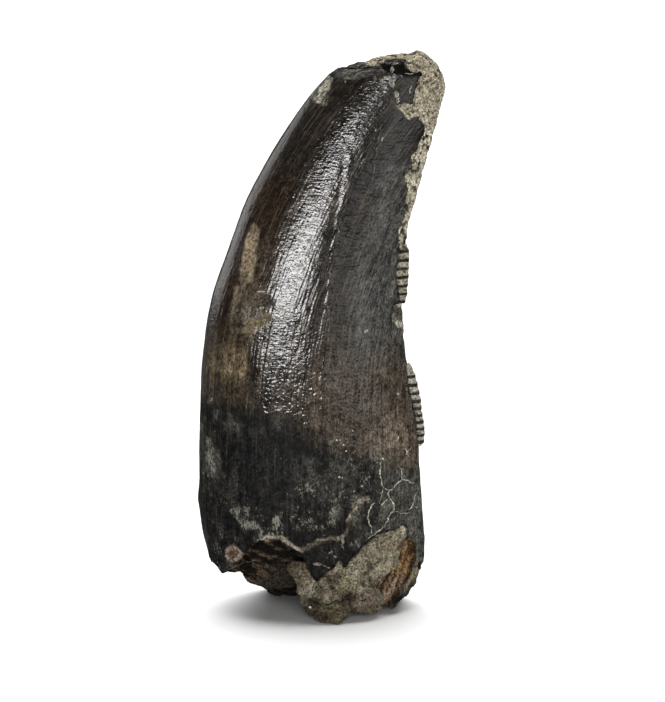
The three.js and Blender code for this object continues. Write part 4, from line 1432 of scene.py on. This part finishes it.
# ---- Pale fillings of the fine cracks, painted highlight and shade lines, and small patches ----
CRACK_PALE = (0.40, 0.375, 0.305)
CRACK_DULL = (0.19, 0.175, 0.14)
CREVICE_SHADE = (0.022, 0.015, 0.011)
HIGHLIGHT_PALE = (0.110, 0.107, 0.100)
LINE_DARK = (0.004, 0.0035, 0.003)
MARK_GREY = (0.190, 0.160, 0.150)
PATCH_GREY = (0.215, 0.212, 0.195)
# Lines on the front: width, colour and points.
FRONT_LINES_PX = [
    (1.3, CRACK_PALE, [(380.4, 461), (379.6, 473), (381.2, 479), (381.6, 484.4), (382.8, 487.6)]),
    (1.1, CRACK_PALE, [(382.8, 487.6), (381.6, 493), (380.4, 499.6), (378.8, 504.4)]),
    (1.3, CRACK_PALE, [(382.8, 487.6), (386.4, 489.2), (389.6, 489.6), (392.4, 488.8), (396, 485.2),
        (400, 481.2), (401.6, 478.8)]),
    (1.3, CRACK_PALE, [(401.6, 478.8), (401.4, 472.4), (401.8, 468)]),
    (1.5, CRACK_PALE, [(401.6, 478.8), (406.4, 480.8), (410.4, 482), (415.4, 483.3)]),
    (1.4, CRACK_PALE, [(389.6, 489.6), (388.4, 493.2), (389.2, 497.2), (386, 500.4), (383.2, 503.2),
        (379.6, 505.6)]),
    (1.5, CRACK_PALE, [(389.2, 497.2), (392, 500.4), (393.4, 504.4), (393.8, 509.2), (392.4, 512),
        (388.8, 516.4), (386.8, 522), (384, 526), (379.2, 530.8), (372.8, 535.6), (367, 539)]),
    (1.2, CRACK_PALE, [(392.4, 512), (396.8, 512), (400.8, 514), (404.8, 514.4), (409, 513.5)]),
    (1.4, CRACK_PALE, [(407.2, 509.2), (410.4, 509.6), (412.8, 506), (414, 502), (415.2, 498),
        (417.4, 493)]),
    (1.2, CRACK_PALE, [(413.2, 505.6), (416, 507.6), (419.2, 509.6)]),
    (1.2, CRACK_PALE, [(401.6, 449.2), (404.8, 449.2), (407.6, 451.6), (410.4, 450), (411.8, 447)]),
    (1.4, CRACK_PALE, [(407.6, 451.6), (406.8, 454), (410.4, 457.2), (411.4, 458.6)]),
    (1.8, CRACK_PALE, [(399.4, 435.4), (398.4, 438.8), (396.8, 440.4), (393.4, 442)]),
    (1.2, CRACK_PALE, [(375.2, 502.8), (371.2, 505.2), (369.2, 509.2), (368.4, 516.4), (368.8, 522.8),
        (371.2, 527.6), (371.6, 533.2), (372.8, 534.8)]),
    (0.9, CRACK_DULL, [(368, 481), (370, 487.6)]),
    (1.3, CRACK_DULL, [(375.2, 464), (378.4, 462), (380.4, 461)]),
    (1.4, CRACK_DULL, [(379.6, 454), (382.4, 458.5)]),
    (1.4, CRACK_PALE, [(391, 531), (386, 533), (380, 534.5), (375, 537.5)]),
    (2.6, CRACK_DULL, [(341, 537.5), (343, 543), (342.6, 549)]),
    (1.8, CRACK_DULL, [(277.5, 535), (277, 528), (276.4, 519)]),
    (1.0, CRACK_DULL, [(232, 567.6), (238, 564.8), (245, 562.6), (256, 561)]),
    # The dark line along the upper edge of the sandstone's window is painted shadow under the enamel's edge.
    (1.4, LINE_DARK, [(389, 527.5), (382, 531), (376, 534), (369, 539.5), (362, 545.5), (356, 552),
        (350, 558), (346.5, 564.5)]),
    (1.7, LINE_DARK, [(341, 70), (347, 71), (354, 71.2), (363.5, 71.2), (372.7, 71.8), (383, 72.6)]),
    (0.9, CRACK_PALE, [(404, 77), (411, 77), (416, 76.2)]),
    (0.8, CRACK_DULL, [(378, 73.8), (384, 74.6)]),
    # Pale broken lines painted as highlights: two along the ridge, one on the distal flat.
    (1.1, HIGHLIGHT_PALE, [(364, 140), (358.5, 154), (353, 170), (347.6, 192), (345, 208.5), (338, 230),
        (335.4, 241)]),
    (1.2, HIGHLIGHT_PALE, [(330, 262), (326, 276), (327, 298), (330, 325), (328, 345)]),
    (0.8, HIGHLIGHT_PALE, [(381, 128), (377, 150), (372, 185), (368, 230), (366, 262)]),
    # Near-black strips along the crevices of the sandstone: painted shade.
    (2.0, CREVICE_SHADE, [(309, 600), (316, 603), (322, 606), (328, 604), (334, 601), (341, 600)]),
    (2.4, CREVICE_SHADE, [(341, 600), (346, 597), (352, 594), (357, 592.5)]),
    (1.8, CREVICE_SHADE, [(341, 600), (343, 604.5), (341, 608)]),
    (1.8, CREVICE_SHADE, [(346.5, 597.5), (350, 602), (349, 607.5), (353, 610)]),
    (1.5, CREVICE_SHADE, [(352, 594.5), (357, 599), (362, 601), (367, 599)]),
    (1.4, CREVICE_SHADE, [(318, 584), (323, 589), (330, 590), (336, 586)]),
    (1.3, CRACK_PALE, [(325.5, 100), (324.5, 97.8), (321.5, 99.5), (319.5, 102), (318, 105)]),
    (1.5, MARK_GREY, [(320, 564), (324, 564.6), (327.5, 567), (331, 568)]),
    (1.5, CRACK_PALE, [(410.8, 89.5), (409.6, 93), (409.4, 96.5)]),
]
# Patches on the front: centre, half width, half height, turn in degrees and colour.
FLECKS_PX = [
    ((391, 86.5), 3.4, 6.5, 12, PATCH_GREY), ((393.5, 82), 1.8, 3.0, 30, PATCH_GREY),
    ((391.3, 73.6), 2.2, 3.2, -10, PATCH_GREY), ((374.4, 82.8), 1.9, 2.6, 0, (0.07, 0.07, 0.065)),
    ((379.8, 107.5), 1.8, 3.4, -30, (0.12, 0.115, 0.1)),
    ((390.4, 105.5), 1.4, 3.2, -8, (0.09, 0.09, 0.08)), ((357.5, 119.5), 0.9, 1.5, 30, CRACK_PALE),
    ((381.7, 141.6), 0.8, 2.3, -15, CRACK_PALE), ((362.6, 145.4), 0.7, 1.6, -15, CRACK_DULL),
    ((345.2, 85.6), 0.8, 1.7, 0, CRACK_DULL), ((326.5, 88.3), 3.6, 2.4, 30, (0.36, 0.32, 0.24)),
    ((321.5, 91.5), 1.8, 3.6, -25, (0.36, 0.33, 0.26)), ((328, 80.5), 2.8, 1.9, 30, (0.16, 0.165, 0.145)),
    ((318.5, 103.5), 1.7, 2.8, -30, (0.3, 0.29, 0.25)), ((317.6, 563.6), 4.6, 2.1, -8, MARK_GREY),
    ((421, 567.5), 2.6, 4.6, 10, ENAMEL_BLACK), ((398, 600.5), 6.0, 3.0, 38, ENAMEL_BLACK),
    # The near-black patch at (291.5, 589.8), in the hole under the dentine, is painted shade.
    ((291.5, 589.8), 10.0, 2.4, 3, (0.0015, 0.0012, 0.001)), ((330.5, 552), 2.4, 1.2, 20, CRACK_DULL),
    ((335, 556), 2.0, 1.0, -30, CRACK_DULL), ((403.5, 530.5), 3.6, 4.6, 15, (0.42, 0.38, 0.28)),
    ((382, 458.5), 2.0, 1.4, 0, CRACK_PALE), ((401.8, 469), 2.2, 1.6, 0, CRACK_DULL),
    ((366, 331), 2.2, 1.6, 20, CRACK_PALE), ((398, 394), 1.8, 1.3, 0, CRACK_PALE),
    ((407, 389), 1.6, 2.0, 0, CRACK_DULL), ((262.7, 308.4), 2.4, 1.5, 20, (0.36, 0.33, 0.28)),
    ((262, 292.3), 4.5, 0.9, 0, CRACK_PALE), ((310, 607), 1.3, 1.3, 0, (0.8, 0.8, 0.75)),
    ((336.8, 439.5), 1.1, 1.1, 0, CRACK_PALE), ((340, 439.4), 1.0, 1.0, 0, CRACK_PALE),
    ((343.5, 444.5), 0.9, 1.2, 0, CRACK_PALE), ((337, 436), 1.3, 0.7, 30, CRACK_DULL),
    ((346.2, 450.6), 1.0, 0.9, 0, CRACK_PALE), ((352.6, 430.5), 0.9, 0.9, 0, CRACK_PALE),
    ((339.5, 476.5), 1.4, 1.0, 0, CRACK_PALE), ((342.5, 477.2), 0.8, 1.0, 0, CRACK_PALE),
    ((361.8, 485.8), 1.1, 1.0, 0, CRACK_PALE), ((354, 490.8), 1.0, 1.0, 0, CRACK_DULL),
]

# Across a strip: share of its width, and height over the surface in mm. The sides go under it.
STRIP_PROFILE = ((-0.5, -0.03), (-0.2, 0.035), (0.2, 0.035), (0.5, -0.03))
STRIP_STEP = 0.07
STRIP_WANDER = 0.095
# From a patch's middle to its rim: share of its reach, and height over the surface in mm.
FLECK_RINGS = ((0.02, 0.035), (0.5, 0.04), (0.85, 0.03), (1.0, -0.03))
FLECK_CORNERS = 18
# Each strip and each patch reads the noise at a place of its own.
STRIP_SEED = 13
FLECK_SEED = 7


def view_tree(pieces):
    """The pieces' surfaces in millimetres, for finding what the photograph's view shows."""
    vertices, faces = [], []
    for piece in pieces:
        first = len(vertices)
        vertices.extend(vertex.co / MM for vertex in piece.data.vertices)
        faces.extend([first + k for k in face.vertices] for face in piece.data.polygons)
    return BVHTree.FromPolygons(vertices, faces)


def seen_points(tree, x, w):
    """The first surface at each x and w of the view plane, and the outward direction there."""
    direction = Vector((0, VIEW_COS, -VIEW_SIN))
    points, outwards = [], []
    last = (Vector((0, 0, 0)), Vector((0, -1, 0)))
    for across, up in zip(x, w):
        start_y = -40.0
        start = Vector((across, start_y, (up - start_y * VIEW_SIN) / VIEW_COS))
        place, outward, _, _ = tree.ray_cast(start, direction)
        if place is not None:
            last = (place, outward if outward.dot(direction) < 0 else -outward)
        points.append(last[0])
        outwards.append(last[1])
    return np.array(points), np.array(outwards)


def resample(points, step):
    gaps = np.hypot(*np.diff(points, axis=0).T)
    length = np.concatenate([[0], np.cumsum(gaps)])
    at = np.linspace(0, length[-1], max(int(length[-1] / step), 2))
    return np.stack([np.interp(at, length, points[:, k]) for k in range(2)], 1)


def line_strip(tree, points_px, width_px, seed):
    """A thin raised strip that follows the surface along a line: a filled crack, a painted highlight or a
    painted shade line.
    """
    line = resample(from_px(points_px), STRIP_STEP)
    flat = 0 * line[:, 0]
    wander = [layered(line[:, 0], line[:, 1], flat, 0.34, 3, seed + k) for k in (0, 9)]
    line = line + STRIP_WANDER * np.stack(wander, 1)
    x, w = line.T
    run = np.gradient(line, axis=0)
    side = np.stack([-run[:, 1], run[:, 0]], 1) / np.maximum(np.hypot(*run.T), 1e-6)[:, None]
    uneven = noise(x, w, flat, 0.22, seed + 4) + noise(x, w, flat, 0.7, seed + 6)
    width = width_px / PX_PER_MM * np.clip(0.84 + 0.95 * uneven, 0.16, 2.1)
    steps = np.arange(len(line))
    width = width * smoothstep(-0.5, 4, np.minimum(steps, steps[::-1]))
    rows = []
    for share, lift in STRIP_PROFILE:
        seen = line + side * (share * width)[:, None]
        points, outward = seen_points(tree, seen[:, 0], seen[:, 1])
        rows.append(points + outward * lift)
    vertices = np.stack(rows, 1).reshape(-1, 3)
    columns = len(rows)
    start = steps[:-1, None] * columns + np.arange(columns - 1)[None, :]
    quads = np.stack([start, start + 1, start + 1 + columns, start + columns], -1).reshape(-1, 4)
    return vertices, quads


def fleck(tree, centre_px, half_width_px, half_height_px, turn_degrees, seed):
    """A small patch with an uneven outline, lying on the surface."""
    centre = from_px(centre_px)
    angle = np.linspace(0, 2 * math.pi, FLECK_CORNERS, endpoint=False)
    reach = 1 + 0.35 * noise(np.cos(angle) * 1.3, np.sin(angle) * 1.3, 0 * angle, 0.8, seed)
    reach = reach + 0.2 * noise(np.cos(angle) * 3, np.sin(angle) * 3, 0 * angle, 0.8, seed + 5)
    across = np.cos(angle) * reach * half_width_px / PX_PER_MM
    up = np.sin(angle) * reach * half_height_px / PX_PER_MM
    turn = math.radians(turn_degrees)
    x = across * math.cos(turn) - up * math.sin(turn)
    w = across * math.sin(turn) + up * math.cos(turn)
    rows = []
    for share, lift in FLECK_RINGS:
        points, outward = seen_points(tree, centre[0] + share * x, centre[1] + share * w)
        rows.append(points + outward * lift)
    vertices = np.concatenate(rows)
    corner = np.arange(FLECK_CORNERS)
    following = (corner + 1) % FLECK_CORNERS
    quads = []
    for ring in range(len(FLECK_RINGS) - 1):
        inner, outer = ring * FLECK_CORNERS, (ring + 1) * FLECK_CORNERS
        quads.append(np.stack([inner + corner, outer + corner, outer + following, inner + following], 1))
    return vertices, np.concatenate(quads)


def join(parts):
    vertices, quads, count = [], [], 0
    for part_vertices, part_quads in parts:
        vertices.append(part_vertices)
        quads.append(part_quads + count)
        count += len(part_vertices)
    return np.concatenate(vertices), np.concatenate(quads)


def make_lines_and_flecks(tree):
    parts, tints = [], []
    for number, (width, colour, points) in enumerate(FRONT_LINES_PX):
        parts.append(line_strip(tree, points, width, STRIP_SEED * number))
        tints.append(np.tile(colour, (len(parts[-1][0]), 1)))
    for number, (centre, half_width, half_height, turn, colour) in enumerate(FLECKS_PX):
        parts.append(fleck(tree, centre, half_width, half_height, turn, FLECK_SEED * number))
        tints.append(np.tile(colour, (len(parts[-1][0]), 1)))
    vertices, quads = join(parts)
    paint = {"tint": np.concatenate(tints), "grain": vertices}
    cracks = mesh_object("lines_and_flecks", vertices, quads, paint, [stone_material("sandstone")])
    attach(cracks, "root")
    return cracks


crown = make_crown()
base_stone = make_stone()
tip_crust = make_crust()
distal_edge = make_edge()
make_lines_and_flecks(view_tree([crown, base_stone, tip_crust, distal_edge]))


# ---- Floor, light and camera ----
CAMERA_DISTANCE = 650.0
VIEW_HEIGHT = PHOTO_PX[1] / PX_PER_MM
SENSOR = 36.0
FLOOR_SIZE = 4.0
FLOOR_COLOUR = (0.9, 0.9, 0.9, 1)
WORLD_COLOUR = (0.10, 0.10, 0.10, 1)
BACKDROP_COLOUR = (1, 1, 1, 1)
SUN_STRENGTH = 5.4
SUN_SPREAD = math.radians(80)
SUN_TURN = (math.radians(-24), math.radians(-4), 0)


def make_camera():
    centre_x, centre_w = from_px((PHOTO_PX[0] / 2, PHOTO_PX[1] / 2))
    target = Vector((centre_x, 0, centre_w / VIEW_COS)) * MM
    away = Vector((0, -VIEW_COS, VIEW_SIN)) * CAMERA_DISTANCE * MM
    data = bpy.data.cameras.new("camera")
    data.sensor_fit = "AUTO"
    data.sensor_width = SENSOR
    data.lens = SENSOR * CAMERA_DISTANCE / VIEW_HEIGHT
    data.clip_start = 0.01
    data.clip_end = 20
    camera = bpy.data.objects.new("camera", data)
    camera.location = target + away
    camera.rotation_mode = "QUATERNION"
    camera.rotation_quaternion = (-away).to_track_quat("-Z", "Y")
    bpy.context.scene.collection.objects.link(camera)
    bpy.context.scene.camera = camera


def make_floor():
    bpy.ops.mesh.primitive_plane_add(size=FLOOR_SIZE, location=(0, 0, 0))
    floor = bpy.context.object
    floor.name = "floor"
    material = bpy.data.materials.new("pale_floor")
    material.use_nodes = True
    shader = material.node_tree.nodes["Principled BSDF"]
    shader.inputs["Base Color"].default_value = FLOOR_COLOUR
    shader.inputs["Roughness"].default_value = 1.0
    shader.inputs["Specular IOR Level"].default_value = 0.0
    floor.data.materials.append(material)
    floor.visible_glossy = False


def make_world():
    """White where the camera looks past the floor, and a dim even room for everything else."""
    world = bpy.data.worlds.new("studio")
    bpy.context.scene.world = world
    world.use_nodes = True
    tree = world.node_tree
    path = tree.nodes.new("ShaderNodeLightPath")
    mix = tree.nodes.new("ShaderNodeMix")
    mix.data_type = "RGBA"
    mix.inputs[6].default_value = WORLD_COLOUR
    mix.inputs[7].default_value = BACKDROP_COLOUR
    tree.links.new(path.outputs["Is Camera Ray"], mix.inputs[0])
    tree.links.new(mix.outputs[2], tree.nodes["Background"].inputs["Color"])


def softbox(name, place, size, radiance, aim, glossy=True, diffuse=True):
    """A rectangular light of one radiance that the camera can't see. Its measures are in mm."""
    data = bpy.data.lights.new(name, "AREA")
    data.shape = "RECTANGLE"
    data.size = size[0] * MM
    data.size_y = size[1] * MM
    data.energy = radiance * math.pi * size[0] * size[1] * MM * MM
    light = bpy.data.objects.new(name, data)
    light.location = Vector(place) * MM
    light.rotation_mode = "QUATERNION"
    light.rotation_quaternion = (Vector(aim) * MM - light.location).to_track_quat("-Z", "Y")
    light.visible_camera = False
    light.visible_glossy = glossy
    light.visible_diffuse = diffuse
    bpy.context.scene.collection.objects.link(light)


def make_light():
    sun_data = bpy.data.lights.new("overhead", "SUN")
    sun_data.energy = SUN_STRENGTH
    sun_data.angle = SUN_SPREAD
    sun = bpy.data.objects.new("overhead", sun_data)
    sun.rotation_euler = SUN_TURN
    sun.visible_glossy = False
    bpy.context.scene.collection.objects.link(sun)
    softbox("streak_box", (-4, -92, 38.5), (68, 22), 24.0, (-4, 0, 38.5), diffuse=False)
    softbox("distal_box", (95, -60, 50), (70, 80), 1.4, (5, 0, 40), diffuse=False)
    softbox("rim_box", (-100, 100, 60), (80, 80), 1.0, (0, 0, 35), diffuse=False)
    softbox("back_box", (35, 130, 62), (50, 44), 5.0, (0, 0, 35), diffuse=False)
    softbox("fill_box", (50, -440, 130), (300, 240), 4.0, (0, 0, 25), glossy=False)


make_camera()
make_floor()
make_world()
make_light()
bpy.context.scene.view_settings.view_transform = "Standard"
